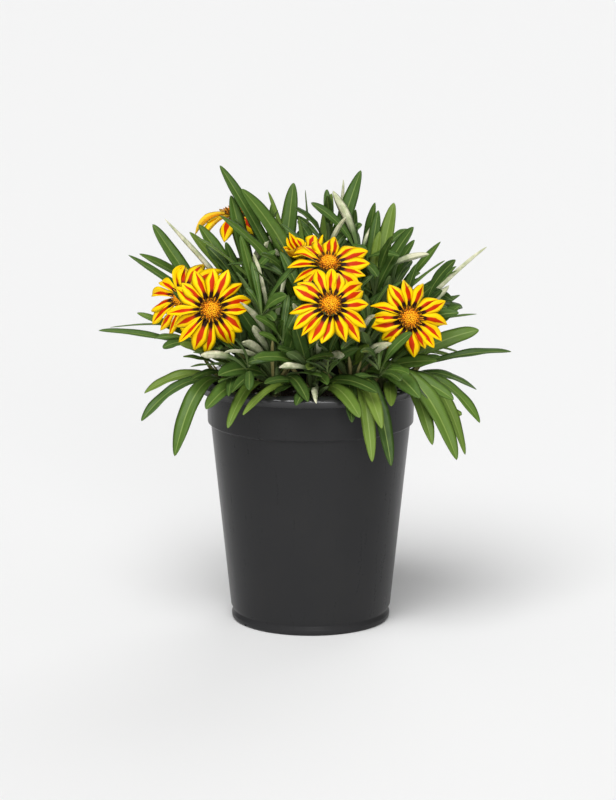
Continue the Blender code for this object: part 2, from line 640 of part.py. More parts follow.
def stalk_mesh(head):
    """A flower stalk that curves from its shoot to the head and widens there into the green cup."""
    matrix = head_matrix(head)
    facing = matrix.to_3x3() @ UP
    x, y, top = SHOOTS[head[6]]
    root = Vector((x, y, top - 6.0)) * MM
    seat = matrix.translation - facing * GAP
    end = seat - facing * CUP_LENGTH
    span = (end - root).length
    curve = [root, root + UP * (span * 0.42), end - facing * (span * 0.36), end]
    rings = [(bezier(curve, i / STALK_STEPS), STALK_RADIUS) for i in range(STALK_STEPS + 1)]
    rings += [(seat - facing * (CUP_LENGTH * 0.72), CUP_RADIUS * 0.8), (seat - facing * 1.8 * MM, CUP_RADIUS),
              (seat, CUP_RADIUS * 1.04)]
    verts = []
    for number, (point, radius) in enumerate(rings):
        if number <= STALK_STEPS:
            step = number / STALK_STEPS
            ahead = (bezier(curve, min(step + 0.01, 1.0)) - bezier(curve, max(step - 0.01, 0.0))).normalized()
        else:
            ahead = facing
        side = square_to(Vector((1.0, 0.0, 0.0)), ahead)
        over = ahead.cross(side)
        for index in range(STALK_SIDES):
            angle = math.tau * index / STALK_SIDES
            offset = side * math.cos(angle) + over * math.sin(angle)
            drop = 1.5 * MM if number == len(rings) - 1 and index % 2 else 0.0
            verts.append(point + offset * radius - facing * drop)
    faces = tube_faces(len(rings), STALK_SIDES)[:-1]
    verts.append(seat - facing * 0.6 * MM)
    first = (len(rings) - 1) * STALK_SIDES
    for index in range(STALK_SIDES):
        faces.append((first + index, first + (index + 1) % STALK_SIDES, len(verts) - 1))
    return verts, faces


def petal_stations(head, number, rng):
    """One ray petal in the head's own frame, past its foot: broad middle, pointed tip, slight roll."""
    middle, tip_height = head[3], head[4]
    radius = head[2] * rng.uniform(0.93, 1.04)
    angle = math.tau * (number + rng.uniform(-0.1, 0.1)) / PETALS
    out = Vector((math.cos(angle), math.sin(angle), 0.0))
    root = out * PLATE_RADIUS + UP * (PLATE_THICKNESS / 2.0)
    bend = out * (radius * MM * 0.58) + UP * ((middle + rng.uniform(-0.3, 0.3)) * MM)
    tip = out * (radius * MM) + UP * ((tip_height + rng.uniform(-1.4, 1.4)) * MM)
    curve = [root, bend, tip]
    roll = PETAL_ROLL + rng.uniform(-0.05, 0.08)
    stations = []
    for share, breadth in PETAL_OUTLINE:
        point = bezier(curve, share)
        ahead = (bezier(curve, share + 0.01) - point).normalized()
        normal = Matrix.Rotation(roll, 3, ahead) @ square_to(UP, ahead)
        width = head[5] * breadth * MM
        fold = -0.08 * width
        stations.append((point, ahead.cross(normal), normal, width, PETAL_THICKNESS, fold, fold))
    return stations, tip


def petals_shape(index):
    """A head's ray petals and the thin plate that they spread from, as one closed shape in place."""
    head = HEADS[index]
    rng = random.Random(700 + index)
    verts = [Vector((0.0, 0.0, PLATE_THICKNESS)), Vector((0.0, 0.0, 0.0))]
    faces = []
    for number in range(PETALS):
        for turn, height in ((-0.5, 0.5), (0.0, 1.0), (0.0, 0.0)):
            angle = math.tau * (number + turn) / PETALS
            spot = Vector((PLATE_RADIUS * math.cos(angle), PLATE_RADIUS * math.sin(angle), 0.0))
            verts.append(spot + UP * (PLATE_THICKNESS * height))
    for number in range(PETALS):
        right, ridge, keel = (2 + 3 * number + k for k in range(3))
        left = 2 + 3 * ((number + 1) % PETALS)
        faces += [(0, right, ridge), (0, ridge, left), (1, keel, right), (1, left, keel)]
        ring = [left, ridge, right, keel]
        stations, tip = petal_stations(head, number, rng)
        for point, side, normal, width, thickness, raise_left, raise_right in stations:
            first = len(verts)
            verts.append(point - side * (width / 2.0) + normal * raise_left)
            verts.append(point + normal * (thickness / 2.0))
            verts.append(point + side * (width / 2.0) + normal * raise_right)
            verts.append(point - normal * (thickness / 2.0))
            after = [first + k for k in range(4)]
            for edge, crest in ((0, 1), (2, 1), (2, 3), (0, 3)):
                faces.append((ring[edge], ring[crest], after[crest]))
                faces.append((ring[edge], after[crest], after[edge]))
            ring = after
        verts.append(tip)
        faces += [(ring[k], ring[(k + 1) % 4], len(verts) - 1) for k in range(4)]
    matrix = head_matrix(head)
    return [matrix @ v for v in verts], faces


def disc_shape(index):
    """The domed disc of a head, its florets raised as staggered knobs."""
    matrix = head_matrix(HEADS[index])
    foot = PLATE_THICKNESS + GAP
    share_of_full = min(1.0, HEADS[index][2] / FULL_HEAD_RADIUS)
    rings = (
        (DISC_FOOT_RADIUS, 0.0, 0.0), (DISC_RADIUS, 0.3, 0.5), (DISC_RADIUS * 0.86, 0.66, 0.55),
        (DISC_RADIUS * 0.6, 0.88, 0.5), (DISC_RADIUS * 0.3, 0.98, 0.4),
    )
    verts = []
    for number, (radius, share, bump) in enumerate(rings):
        for step in range(DISC_FLORETS):
            angle = math.tau * (step + 0.5 * (number % 2)) / DISC_FLORETS
            high = bump * MM if step % 2 else 0.0
            reach = (radius + high) * share_of_full
            z = foot + DISC_HEIGHT * share * share_of_full + high
            verts.append(matrix @ Vector((reach * math.cos(angle), reach * math.sin(angle), z)))
    faces = tube_faces(len(rings), DISC_FLORETS)[:-1]
    verts.append(matrix @ Vector((0.0, 0.0, foot + DISC_HEIGHT * share_of_full)))
    first = (len(rings) - 1) * DISC_FLORETS
    for step in range(DISC_FLORETS):
        faces.append((first + step, first + (step + 1) % DISC_FLORETS, len(verts) - 1))
    return verts, faces


def root_heights(leaves, crown_z):
    """Leaves leave the stem in the order of their slope: the steepest at the tip, the flattest low."""
    order = sorted(leaves, key=lambda leaf: leaf["slope"])
    for rank, leaf in enumerate(order):
        share = rank / max(1, len(order) - 1)
        leaf["root"].z = crown_z - 2.5 * MM - LEAF_ZONE * (1.0 - share)


def inside_bush(tip):
    """Whether a point in millimetres lies within the rounded outline of the foliage."""
    share = (tip.x / BUSH[0]) ** 2 + (tip.y / BUSH[1]) ** 2 + (max(0.0, tip.z - BUSH_FOOT) / BUSH[2]) ** 2
    return share < 1.0 and (tip.y > FRONT_Y or tip.z < FRONT_TOP)


def fill_leaves(shoot, rng):
    """Leaves all round a shoot, steep inside and flatter outside, then low ones over the rim."""
    x, y, top = SHOOTS[shoot]
    low = REAR_FILL if y > 30 else FRONT_FILL if y < -10 else 0
    leaves = []
    for number in range(FILL_PER_SHOOT + low):
        angle = shoot * 1.3 + number * GOLDEN_ANGLE
        climb = math.radians(22.0 + 50.0 * (number + 0.5) / FILL_PER_SHOOT)
        length = rng.uniform(*FILL_LENGTH)
        if number >= FILL_PER_SHOOT:
            spread = math.radians(rng.uniform(35.0, 145.0))
            angle = math.copysign(spread, y)
            climb = math.radians(rng.uniform(-22.0, 20.0))
            length = length if y > 0 else rng.uniform(*FRONT_LENGTH)
        way = Vector((math.cos(angle) * math.cos(climb), math.sin(angle) * math.cos(climb), math.sin(climb)))
        crown = Vector((x, y, top))
        while length > FRONT_LENGTH[0] and not inside_bush(crown + way * length):
            length -= 6.0
        rise = max(42.0, math.degrees(climb) + 14.0)
        width = rng.uniform(*FILL_WIDTH) * min(1.0, length / 90.0)
        leaf = new_leaf(shoot, False, crown + way * length, width, rise, rng.uniform(-0.3, 0.5), rng)
        if inside_bush(crown + way * length):
            leaves.append(leaf)
    return leaves


def plan_leaves():
    """Every leaf of every shoot, bent clear of the heads, the stems and each other."""
    obstacles = []
    for index, head in enumerate(HEADS):
        for verts, faces in (petals_shape(index), disc_shape(index)):
            obstacles.append(obstacle(verts, faces, None))
        obstacles.append(obstacle(*stalk_mesh(head), head[6]))
    for shoot, (x, y, top) in enumerate(SHOOTS):
        obstacles.append(obstacle(*stem_mesh(x, y, top), shoot))
    wanted = []
    for shoot, (x, y, top) in enumerate(SHOOTS):
        rng = random.Random(40 + shoot)
        crown = Vector((x, y, top)) * MM
        leaves = []
        for row, (tx, ty, tz, width, rise, face) in enumerate(LEAVES[shoot]):
            leaf = new_leaf(shoot, True, (tx, ty, tz), width, rise, face, rng)
            if (shoot, row) == LOBED_LEAF:
                leaf["lobes"] = LOBES
            leaves.append(leaf)
        leaves += fill_leaves(shoot, rng)
        for leaf in leaves:
            away = leaf["tip"] - crown
            leaf["slope"] = math.atan2(away.z, math.hypot(away.x, away.y))
            leaf["root"] = crown.copy()
        root_heights(leaves, crown.z)
        wanted += leaves
    placed = []
    for number, leaf in enumerate(sorted(wanted, key=lambda leaf: not leaf["key"])):
        rng = random.Random(9000 + number)
        found = bend_clear(leaf, obstacles, rng, TRIES if leaf["key"] else TRIES // 2)
        if found:
            placed.append(found)
            for verts, faces in leaf_shapes(found):
                obstacles.append(obstacle(verts, faces, found["shoot"]))
    return placed


def make_shoots(material):
    plan = plan_leaves()
    for shoot, (x, y, top) in enumerate(SHOOTS):
        name = "shoot_%02d" % (shoot + 1)
        stem = add_object(name, mesh_from(name, *stem_mesh(x, y, top)), material)
        shapes = [stalk_mesh(head) for head in HEADS if head[6] == shoot]
        for leaf in plan:
            if leaf["shoot"] == shoot:
                shapes += leaf_shapes(leaf)
        blades = [add_object("blade", mesh_from("blade", *shape), material) for shape in shapes]
        combine(stem, blades, "UNION")
        stem.data.materials.clear()
        stem.data.materials.append(material)
        shade(stem, 50.0)


def make_heads(petal_material, disc_material):
    for index in range(len(HEADS)):
        name = "petals_%02d" % (index + 1)
        petals = add_object(name, mesh_from(name, *petals_shape(index)), petal_material)
        shade(petals, 50.0)
        name = "disc_%02d" % (index + 1)
        add_object(name, mesh_from(name, *disc_shape(index)), disc_material)


def build():
    clear_scene()
    black_plastic = make_material("black_plastic", (0.012, 0.012, 0.014), 0.3)
    soil = make_material("soil", (0.03, 0.02, 0.013), 0.95)
    leaf_green = make_material("leaf_green", (0.06, 0.16, 0.03), 0.5)
    petal_yellow = make_material("petal_yellow", (0.93, 0.55, 0.01), 0.5)
    disc_orange = make_material("disc_orange", (0.75, 0.22, 0.02), 0.75)
    make_pot(black_plastic)
    make_soil(soil)
    make_heads(petal_yellow, disc_orange)
    make_shoots(leaf_green)


build()
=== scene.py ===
import math
import random

import bmesh
import bpy
from mathutils import Matrix, Vector, noise
from mathutils.bvhtree import BVHTree


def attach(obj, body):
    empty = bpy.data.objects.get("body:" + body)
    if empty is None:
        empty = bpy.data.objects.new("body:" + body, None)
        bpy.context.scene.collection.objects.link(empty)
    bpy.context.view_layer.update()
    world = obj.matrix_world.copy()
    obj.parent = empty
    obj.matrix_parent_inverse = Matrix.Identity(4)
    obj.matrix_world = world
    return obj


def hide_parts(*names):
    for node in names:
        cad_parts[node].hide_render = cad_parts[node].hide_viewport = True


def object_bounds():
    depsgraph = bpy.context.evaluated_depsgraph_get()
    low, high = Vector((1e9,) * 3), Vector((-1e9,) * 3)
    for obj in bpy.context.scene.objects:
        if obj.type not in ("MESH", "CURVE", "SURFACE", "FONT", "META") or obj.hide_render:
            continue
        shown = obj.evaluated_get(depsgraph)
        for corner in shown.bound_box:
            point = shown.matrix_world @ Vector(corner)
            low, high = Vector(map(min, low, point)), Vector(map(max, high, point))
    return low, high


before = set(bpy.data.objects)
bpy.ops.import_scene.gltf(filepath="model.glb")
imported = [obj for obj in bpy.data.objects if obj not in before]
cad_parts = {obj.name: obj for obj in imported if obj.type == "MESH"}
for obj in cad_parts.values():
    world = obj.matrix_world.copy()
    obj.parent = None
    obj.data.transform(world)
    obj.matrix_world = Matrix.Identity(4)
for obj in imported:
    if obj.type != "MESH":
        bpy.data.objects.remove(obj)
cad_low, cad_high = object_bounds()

# Studio: a plain pale floor that fills the view, a broad key light high on the left, a low fill from
# the front and an even wrap of studio light. The camera stands where the photograph was taken from.
CAMERA_PLACE = (-0.002, -2.118, 0.586)
CAMERA_LOOKS_DOWN = 0.1948
CAMERA_LENS = 128.475
FLOOR_SIZE = 60.0
FLOOR_COLOUR = (0.86, 0.86, 0.86)
WRAP_AT_HORIZON = 0.12
WRAP_RISE = 0.26
# Lamps: name, degrees round to the right of the camera, degrees up, strength, width in degrees
LAMPS = (("key", -16.0, 55.0, 2.65, 42.0), ("front_fill", 8.0, 9.0, 1.1, 30.0),
         ("back_fill", 160.0, 32.0, 0.6, 40.0))


def add_node(tree, kind, inputs=(), **settings):
    """A shader node with its settings, each input given as a value or as another node's output."""
    made = tree.nodes.new("ShaderNode" + kind)
    for key, value in settings.items():
        setattr(made, key, value)
    for socket, value in dict(inputs).items():
        if isinstance(value, bpy.types.NodeSocket):
            tree.links.new(value, made.inputs[socket])
        else:
            made.inputs[socket].default_value = value
    return made


def ramp(tree, value, stops):
    """The colour that a value takes between the stops, each given as (place, colour)."""
    made = add_node(tree, "ValToRGB", {"Fac": value})
    for place, colour in stops[2:]:
        made.color_ramp.elements.new(place)
    for element, (place, colour) in zip(made.color_ramp.elements, stops):
        element.position = place
        element.color = (*colour, 1.0)
    return made.outputs["Color"]


def calculate(tree, operation, *values, clamp=False):
    made = add_node(tree, "Math", dict(enumerate(values)), operation=operation, use_clamp=clamp)
    return made.outputs[0]


def times(tree, a, b):
    return calculate(tree, "MULTIPLY", a, b)


def mask(tree, value, stops):
    """The grey level that a value takes between the stops, each given as (place, level)."""
    return ramp(tree, value, [(place, (level,) * 3) for place, level in stops])


def mix_colours(tree, factor, a, b):
    made = add_node(tree, "Mix", {0: factor, 6: a, 7: b}, data_type="RGBA")
    return made.outputs[2]


def add_object(name, data):
    made = bpy.data.objects.new(name, data)
    bpy.context.scene.collection.objects.link(made)
    return made


def mesh_from(bm, name):
    """The mesh of a finished bmesh, which is freed."""
    mesh = bpy.data.meshes.new(name)
    bm.to_mesh(mesh)
    bm.free()
    return mesh


def light_the_studio():
    world = bpy.data.worlds.new("studio")
    world.use_nodes = True
    tree = world.node_tree
    tree.nodes.clear()
    way = add_node(tree, "TexCoord").outputs["Generated"]
    height = add_node(tree, "SeparateXYZ", {"Vector": way}).outputs["Z"]
    wrap = calculate(tree, "MULTIPLY_ADD", height, WRAP_RISE, WRAP_AT_HORIZON, clamp=True)
    background = add_node(tree, "Background", {"Strength": wrap})
    output = add_node(tree, "OutputWorld")
    tree.links.new(background.outputs[0], output.inputs["Surface"])
    bpy.context.scene.world = world
    for name, around, up, strength, width in LAMPS:
        lamp = bpy.data.lights.new(name, "SUN")
        lamp.energy = strength
        lamp.angle = math.radians(width)
        add_object(name, lamp).rotation_euler = (math.radians(90.0 - up), 0.0, math.radians(around))


def lay_the_floor():
    bm = bmesh.new()
    bmesh.ops.create_grid(bm, x_segments=1, y_segments=1, size=FLOOR_SIZE / 2.0)
    floor = add_object("floor", mesh_from(bm, "floor"))
    material = bpy.data.materials.new("floor")
    material.use_nodes = True
    shader = material.node_tree.nodes["Principled BSDF"]
    shader.inputs["Base Color"].default_value = (*FLOOR_COLOUR, 1.0)
    shader.inputs["Roughness"].default_value = 0.9
    floor.data.materials.append(material)


def set_the_camera():
    lens = bpy.data.cameras.new("camera")
    lens.lens = CAMERA_LENS
    camera = add_object("camera", lens)
    camera.location = CAMERA_PLACE
    camera.rotation_euler = (math.pi / 2.0 - CAMERA_LOOKS_DOWN, 0.0, 0.0)
    bpy.context.scene.camera = camera


bpy.context.scene.view_settings.view_transform = "Standard"
light_the_studio()
lay_the_floor()
set_the_camera()

# Nursery pot: one injection-moulded piece of black polypropylene, with a rolled lip, a collar band,
# a body that narrows to a foot, six drain holes and two water notches. It comes out of its mould in
# one shot, satin, with a faint mottle, fine scuffs and a lip that handling has polished.
MM = 0.001
GAP = 0.3 * MM
UP = Vector((0.0, 0.0, 1.0))
TO_VIEWER = Vector((0.0, -0.98, 0.2)).normalized()
RIM_RADIUS = 87.0 * MM
RIM_TOP = 186.5 * MM
LIP_DROP = 3.4 * MM
LIP_SKIRT = 4.4 * MM
BAND_RADIUS = 78.4 * MM
BAND_FOOT_Z = 152.7 * MM
BODY_TOP_RADIUS = 75.4 * MM
BODY_FOOT_RADIUS = 60.9 * MM
BODY_FOOT_Z = 9.5 * MM
FOOT_RADIUS = 60.4 * MM
FOOT_HEIGHT = 6.0 * MM
WALL = 1.8 * MM
FLOOR_TOP = 4.2 * MM
DRAIN_HOLES = 6
DRAIN_HOLE_RADIUS = 4.5 * MM
DRAIN_CIRCLE_RADIUS = 34.0 * MM
CENTRE_PAD_RADIUS = 9.0 * MM
UNDERSIDE_RECESS = 1.6 * MM
FOOT_RING_INSIDE = 52.0 * MM
FOOT_NOTCH_RADIUS = 2.3 * MM
FOOT_NOTCH_LENGTH = 14.0 * MM
FOOT_NOTCH_ANGLES = (-145.0, 35.0)
FOOT_NOTCH_SIDES = 10
LIP_ROLL = 6.8 * MM
LIP_STEPS = 7
FINE_POT_SIDES = 160
FINE_HOLE_SIDES = 32
CORNER_ROUNDING = 0.45 * MM
PLASTIC_BLACK = (0.027, 0.027, 0.028, 1.0)
DUST = (0.05, 0.048, 0.044, 1.0)
DUST_FILM = 0.14
# The lip is polished by handling, from this height up
POLISH_FROM = 178.0 * MM
LIP_POLISH = 0.9


def surface_variation():
    """Node group: an uneven value over a surface, and the shallow relief that goes with it."""
    group = bpy.data.node_groups.new("surface variation", "ShaderNodeTree")
    face = group.interface
    for name, value in (("Scale", 100.0), ("Detail", 4.0), ("Strength", 0.2), ("Distance", 0.0003)):
        face.new_socket(name, in_out="INPUT", socket_type="NodeSocketFloat").default_value = value
    face.new_socket("Value", in_out="OUTPUT", socket_type="NodeSocketFloat")
    face.new_socket("Normal", in_out="OUTPUT", socket_type="NodeSocketVector")
    ins = group.nodes.new("NodeGroupInput").outputs
    outs = group.nodes.new("NodeGroupOutput").inputs
    place = add_node(group, "TexCoord").outputs["Object"]
    grain = add_node(group, "TexNoise", {"Vector": place, "Scale": ins["Scale"], "Detail": ins["Detail"]})
    relief = add_node(group, "Bump", {"Strength": ins["Strength"], "Distance": ins["Distance"],
                                      "Height": grain.outputs[0]})
    group.links.new(grain.outputs[0], outs["Value"])
    group.links.new(relief.outputs["Normal"], outs["Normal"])
    return group


VARIATION = surface_variation()


def start_material(name, *settings):
    """A material whose shader takes its relief from the shared variation group, with these settings."""
    material = bpy.data.materials.new(name)
    material.use_nodes = True
    tree = material.node_tree
    varied = tree.nodes.new("ShaderNodeGroup")
    varied.node_tree = VARIATION
    for socket, value in zip(("Scale", "Detail", "Strength", "Distance"), settings):
        varied.inputs[socket].default_value = value
    shader = tree.nodes["Principled BSDF"]
    tree.links.new(varied.outputs["Normal"], shader.inputs["Normal"])
    return material, tree, shader, varied.outputs["Value"]


def link(tree, value, shader, socket):
    tree.links.new(value, shader.inputs[socket])


def finish_piece(name, mesh, materials, node):
    """Adds a finished piece that rides with the pot, stands for a solid and takes its slot's finish."""
    piece = add_object(name, mesh)
    for material in materials:
        mesh.materials.append(material)
    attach(piece, "root")
    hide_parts(node)
    return piece


def cut(piece, cutters):
    """Cuts closed tool objects out of a piece, applies the cut and drops the tools."""
    group = bpy.data.collections.new("cutters")
    bpy.context.scene.collection.children.link(group)
    for cutter in cutters:
        bpy.context.scene.collection.objects.unlink(cutter)
        group.objects.link(cutter)
    boolean = piece.modifiers.new("cut", "BOOLEAN")
    boolean.operation = "DIFFERENCE"
    boolean.operand_type = "COLLECTION"
    boolean.collection = group
    boolean.solver = "EXACT"
    graph = bpy.context.evaluated_depsgraph_get()
    result = bpy.data.meshes.new_from_object(piece.evaluated_get(graph))
    piece.modifiers.clear()
    piece.data = result
    for cutter in cutters:
        bpy.data.objects.remove(cutter, do_unlink=True)
    bpy.data.collections.remove(group)


def turned_mesh(name, profile, sides):
    """A solid turned round the Z axis from a profile that starts and ends on it."""
    bm = bmesh.new()
    corners = [bm.verts.new((r, 0.0, z)) for r, z in profile]
    edges = [bm.edges.new(pair) for pair in zip(corners, corners[1:])]
    bmesh.ops.spin(bm, geom=corners + edges, cent=(0, 0, 0), axis=(0, 0, 1), angle=math.tau,
                   steps=sides, use_merge=True)
    bmesh.ops.remove_doubles(bm, verts=bm.verts, dist=1e-6)
    bmesh.ops.recalc_face_normals(bm, faces=bm.faces)
    return mesh_from(bm, name)


def pot_profile():
    """The pot's section: pad, recessed floor, foot, groove, body, step, band, lip and inner wall."""
    skirt_z = RIM_TOP - LIP_DROP - LIP_SKIRT
    outside = [
        (0.0, 0.0), (CENTRE_PAD_RADIUS, 0.0), (CENTRE_PAD_RADIUS + 1.5 * MM, UNDERSIDE_RECESS),
        (FOOT_RING_INSIDE - 2.0 * MM, UNDERSIDE_RECESS), (FOOT_RING_INSIDE, 0.0),
        (FOOT_RADIUS - 1.6 * MM, 0.0), (FOOT_RADIUS - 0.2 * MM, 1.6 * MM),
        (FOOT_RADIUS, 4.2 * MM), (FOOT_RADIUS - 1.4 * MM, FOOT_HEIGHT + 1.2 * MM),
        (BODY_FOOT_RADIUS, BODY_FOOT_Z + 1.5 * MM),
        (BODY_TOP_RADIUS, BAND_FOOT_Z - 1.6 * MM), (BAND_RADIUS - 0.6 * MM, BAND_FOOT_Z),
        (BAND_RADIUS + 0.3 * MM, skirt_z + 2.8 * MM), (RIM_RADIUS - 1.6 * MM, skirt_z),
        (RIM_RADIUS - 0.3 * MM, skirt_z),
    ]
    for step in range(LIP_STEPS):
        turn = math.pi / 2.0 * step / LIP_STEPS
        reach = RIM_RADIUS - LIP_ROLL * (1.0 - math.cos(turn))
        outside.append((reach, RIM_TOP - LIP_DROP * (1.0 - math.sin(turn))))
    inside = [
        (RIM_RADIUS - LIP_ROLL, RIM_TOP), (BAND_RADIUS - WALL + 0.8 * MM, RIM_TOP - 1.2 * MM),
        (BAND_RADIUS - WALL, RIM_TOP - 4.0 * MM),
        (BAND_RADIUS - WALL - 0.2 * MM, BAND_FOOT_Z + 2.4 * MM),
        (BODY_TOP_RADIUS - WALL, BAND_FOOT_Z - 1.4 * MM),
        (BODY_FOOT_RADIUS - WALL - 0.2 * MM, BODY_FOOT_Z), (BODY_FOOT_RADIUS - 4.5 * MM, FLOOR_TOP),
        (0.0, FLOOR_TOP),
    ]
    return outside + inside


def polar(radius, angle, z=0.0):
    return Vector((radius * math.cos(angle), radius * math.sin(angle), z))


def cylinder_cutter(radius, length, sides, place):
    """A closed round tool, made along Z and then put in its place."""
    bm = bmesh.new()
    bmesh.ops.create_cone(bm, cap_ends=True, segments=sides, radius1=radius, radius2=radius, depth=length)
    bmesh.ops.transform(bm, matrix=place, verts=bm.verts)
    return add_object("cutter", mesh_from(bm, "cutter"))


def foot_notch(angle):
    """The cutter of a water notch in the foot's lower edge, lying along a radius."""
    spot = Matrix.Rotation(math.radians(angle), 4, "Z") @ Matrix.Translation((FOOT_RADIUS, 0.0, 0.0))
    return cylinder_cutter(FOOT_NOTCH_RADIUS, FOOT_NOTCH_LENGTH, FOOT_NOTCH_SIDES,
                           spot @ Matrix.Rotation(math.pi / 2, 4, "Y"))


def drain_hole(number):
    """The cutter of one drain hole, through the floor of the pot."""
    spot = polar(DRAIN_CIRCLE_RADIUS, math.tau * (number + 0.5) / DRAIN_HOLES, FLOOR_TOP / 2.0)
    return cylinder_cutter(DRAIN_HOLE_RADIUS, 3.0 * FLOOR_TOP, FINE_HOLE_SIDES, Matrix.Translation(spot))


def pot_plastic():
    material, tree, shader, mottle = start_material("black plastic", 900.0, 3.0, 0.05, 0.00005)
    place = add_node(tree, "TexCoord").outputs["Object"]
    stretched = add_node(tree, "Mapping", {"Vector": place, "Scale": (260.0, 260.0, 9.0)}).outputs[0]
    scuffs = add_node(tree, "TexNoise", {"Vector": stretched, "Scale": 1.0, "Detail": 3.0}).outputs[0]
    dust = add_node(tree, "TexNoise", {"Vector": place, "Scale": 22.0, "Detail": 6.0}).outputs[0]
    film = times(tree, mask(tree, dust, ((0.45, 0.0), (0.8, 1.0))), DUST_FILM)
    link(tree, mix_colours(tree, film, PLASTIC_BLACK, DUST), shader, "Base Color")
    rough = calculate(tree, "MULTIPLY_ADD", scuffs, 0.12, 0.2)
    link(tree, calculate(tree, "MULTIPLY_ADD", mottle, 0.08, rough), shader, "Roughness")
    shader.inputs["Specular IOR Level"].default_value = 0.08
    height = add_node(tree, "SeparateXYZ", {"Vector": place}).outputs["Z"]
    lip = add_node(tree, "MapRange", {"Value": height, 1: POLISH_FROM, 2: RIM_TOP - LIP_DROP, 4: LIP_POLISH})
    link(tree, lip.outputs[0], shader, "Coat Weight")
    shader.inputs["Coat Roughness"].default_value = 0.12
    return material


pot_mesh = turned_mesh("nursery_pot_moulding", pot_profile(), FINE_POT_SIDES)
pot = finish_piece("nursery_pot_moulding", pot_mesh, [], "nursery_pot")
rounding = pot.modifiers.new("rounding", "BEVEL")
rounding.width = CORNER_ROUNDING
rounding.segments = 3
rounding.limit_method = "ANGLE"
rounding.angle_limit = math.radians(24.0)
pot_holes = [foot_notch(angle) for angle in FOOT_NOTCH_ANGLES]
pot_holes += [drain_hole(number) for number in range(DRAIN_HOLES)]
cut(pot, pot_holes)
pot.data.materials.clear()
pot.data.materials.append(pot_plastic())
pot.data.shade_smooth()
pot.data.set_sharp_from_angle(angle=math.radians(34.0))

# Potting mix: moist dark peat and composted bark with a little white perlite, filled to 20 mm below
# the lip. Its top is crumbly, with loose bits lying in it round the shoots.
SOIL_TOP = 166.0 * MM
SOIL_RELIEF = 2.2 * MM
SOIL_LUMPS_PER_METRE = 55.0
SOIL_FINE_SIDES = 128
SOIL_FINE_RINGS = 44
CRUMBS = 620
CRUMB_SEED = 5
CRUMB_SIZE = (0.5 * MM, 2.3 * MM)
CRUMB_TILT = 0.5
PERLITE_SHARE = 0.07


def fine_soil_height(x, y):
    """The crumbly surface: the broad relief of the bed with lumps and grains on it."""
    broad = SOIL_RELIEF * noise.noise(Vector((x, y, 0.0)) * SOIL_LUMPS_PER_METRE)
    lumps = 1.1 * MM * noise.noise(Vector((x, y, 3.0)) * 230.0)
    grains = 0.5 * MM * noise.noise(Vector((x, y, 7.0)) * 700.0)
    return SOIL_TOP + broad + lumps + grains


def soil_mesh():
    edge = BAND_RADIUS - WALL - 0.2 * MM - 0.6 * MM
    profile = [
        (0.0, FLOOR_TOP + GAP), (BODY_FOOT_RADIUS - 5.2 * MM, FLOOR_TOP + GAP),
        (BODY_FOOT_RADIUS - WALL - 1.0 * MM, BODY_FOOT_Z + 0.6 * MM),
        (BODY_TOP_RADIUS - WALL - 0.8 * MM, BAND_FOOT_Z - 1.4 * MM),
        (edge, BAND_FOOT_Z + 2.8 * MM), (edge, SOIL_TOP - 2.0 * MM),
    ]
    rings = [(edge * (1.0 - ring / SOIL_FINE_RINGS), SOIL_TOP) for ring in range(SOIL_FINE_RINGS + 1)]
    mesh = turned_mesh("potting_mix", profile + rings, SOIL_FINE_SIDES)
    bm = bmesh.new()
    bm.from_mesh(mesh)
    tone = bm.verts.layers.float.new("tone")
    for vert in bm.verts:
        vert[tone] = 0.3
        if vert.co.z > SOIL_TOP - 0.1 * MM:
            vert.co.z = fine_soil_height(vert.co.x, vert.co.y)
    rng = random.Random(5)
    # Without a seed, noise_vector takes its offsets from the clock, and the crumbs change at each run
    noise.seed_set(CRUMB_SEED)
    for _ in range(CRUMBS):
        distance = (edge - 2.5 * MM) * math.sqrt(rng.random())
        angle = rng.uniform(0.0, math.tau)
        x, y = distance * math.cos(angle), distance * math.sin(angle)
        size = rng.uniform(*CRUMB_SIZE)
        turn = Matrix.Rotation(rng.uniform(0.0, math.tau), 4, "Z")
        turn = turn @ Matrix.Rotation(rng.uniform(-CRUMB_TILT, CRUMB_TILT), 4, "X")
        shape = Matrix.Diagonal((size, size * rng.uniform(0.5, 1.0), size * rng.uniform(0.35, 0.8), 1.0))
        spot = Matrix.Translation((x, y, fine_soil_height(x, y) + size * 0.1))
        made = bmesh.ops.create_icosphere(bm, subdivisions=1, radius=1.0, matrix=spot @ turn @ shape)
        shade = 1.0 if rng.random() < PERLITE_SHARE else rng.uniform(0.0, 0.7)
        for vert in made["verts"]:
            vert.co += noise.noise_vector(vert.co * 900.0) * size * 0.2
            vert[tone] = shade
    bm.to_mesh(mesh)
    bm.free()
    return mesh


def soil_material():
    material, tree, shader, crumbs = start_material("potting mix", 420.0, 8.0, 0.9, 0.0012)
    tone = add_node(tree, "Attribute", attribute_name="tone").outputs["Fac"]
    brown = ramp(tree, crumbs, ((0.3, (0.006, 0.004, 0.003)), (0.55, (0.028, 0.017, 0.010)),
                                (0.75, (0.075, 0.046, 0.025))))
    bark = mix_colours(tree, times(tree, tone, 0.55), brown, (0.10, 0.05, 0.024, 1.0))
    white = calculate(tree, "GREATER_THAN", tone, 0.9)
    link(tree, mix_colours(tree, white, bark, (0.72, 0.70, 0.66, 1.0)), shader, "Base Color")
    shader.inputs["Roughness"].default_value = 0.95
    shader.inputs["Specular IOR Level"].default_value = 0.25
    return material


potting_mix = finish_piece("potting_mix", soil_mesh(), [soil_material()], "potting_soil")
potting_mix.data.shade_smooth()

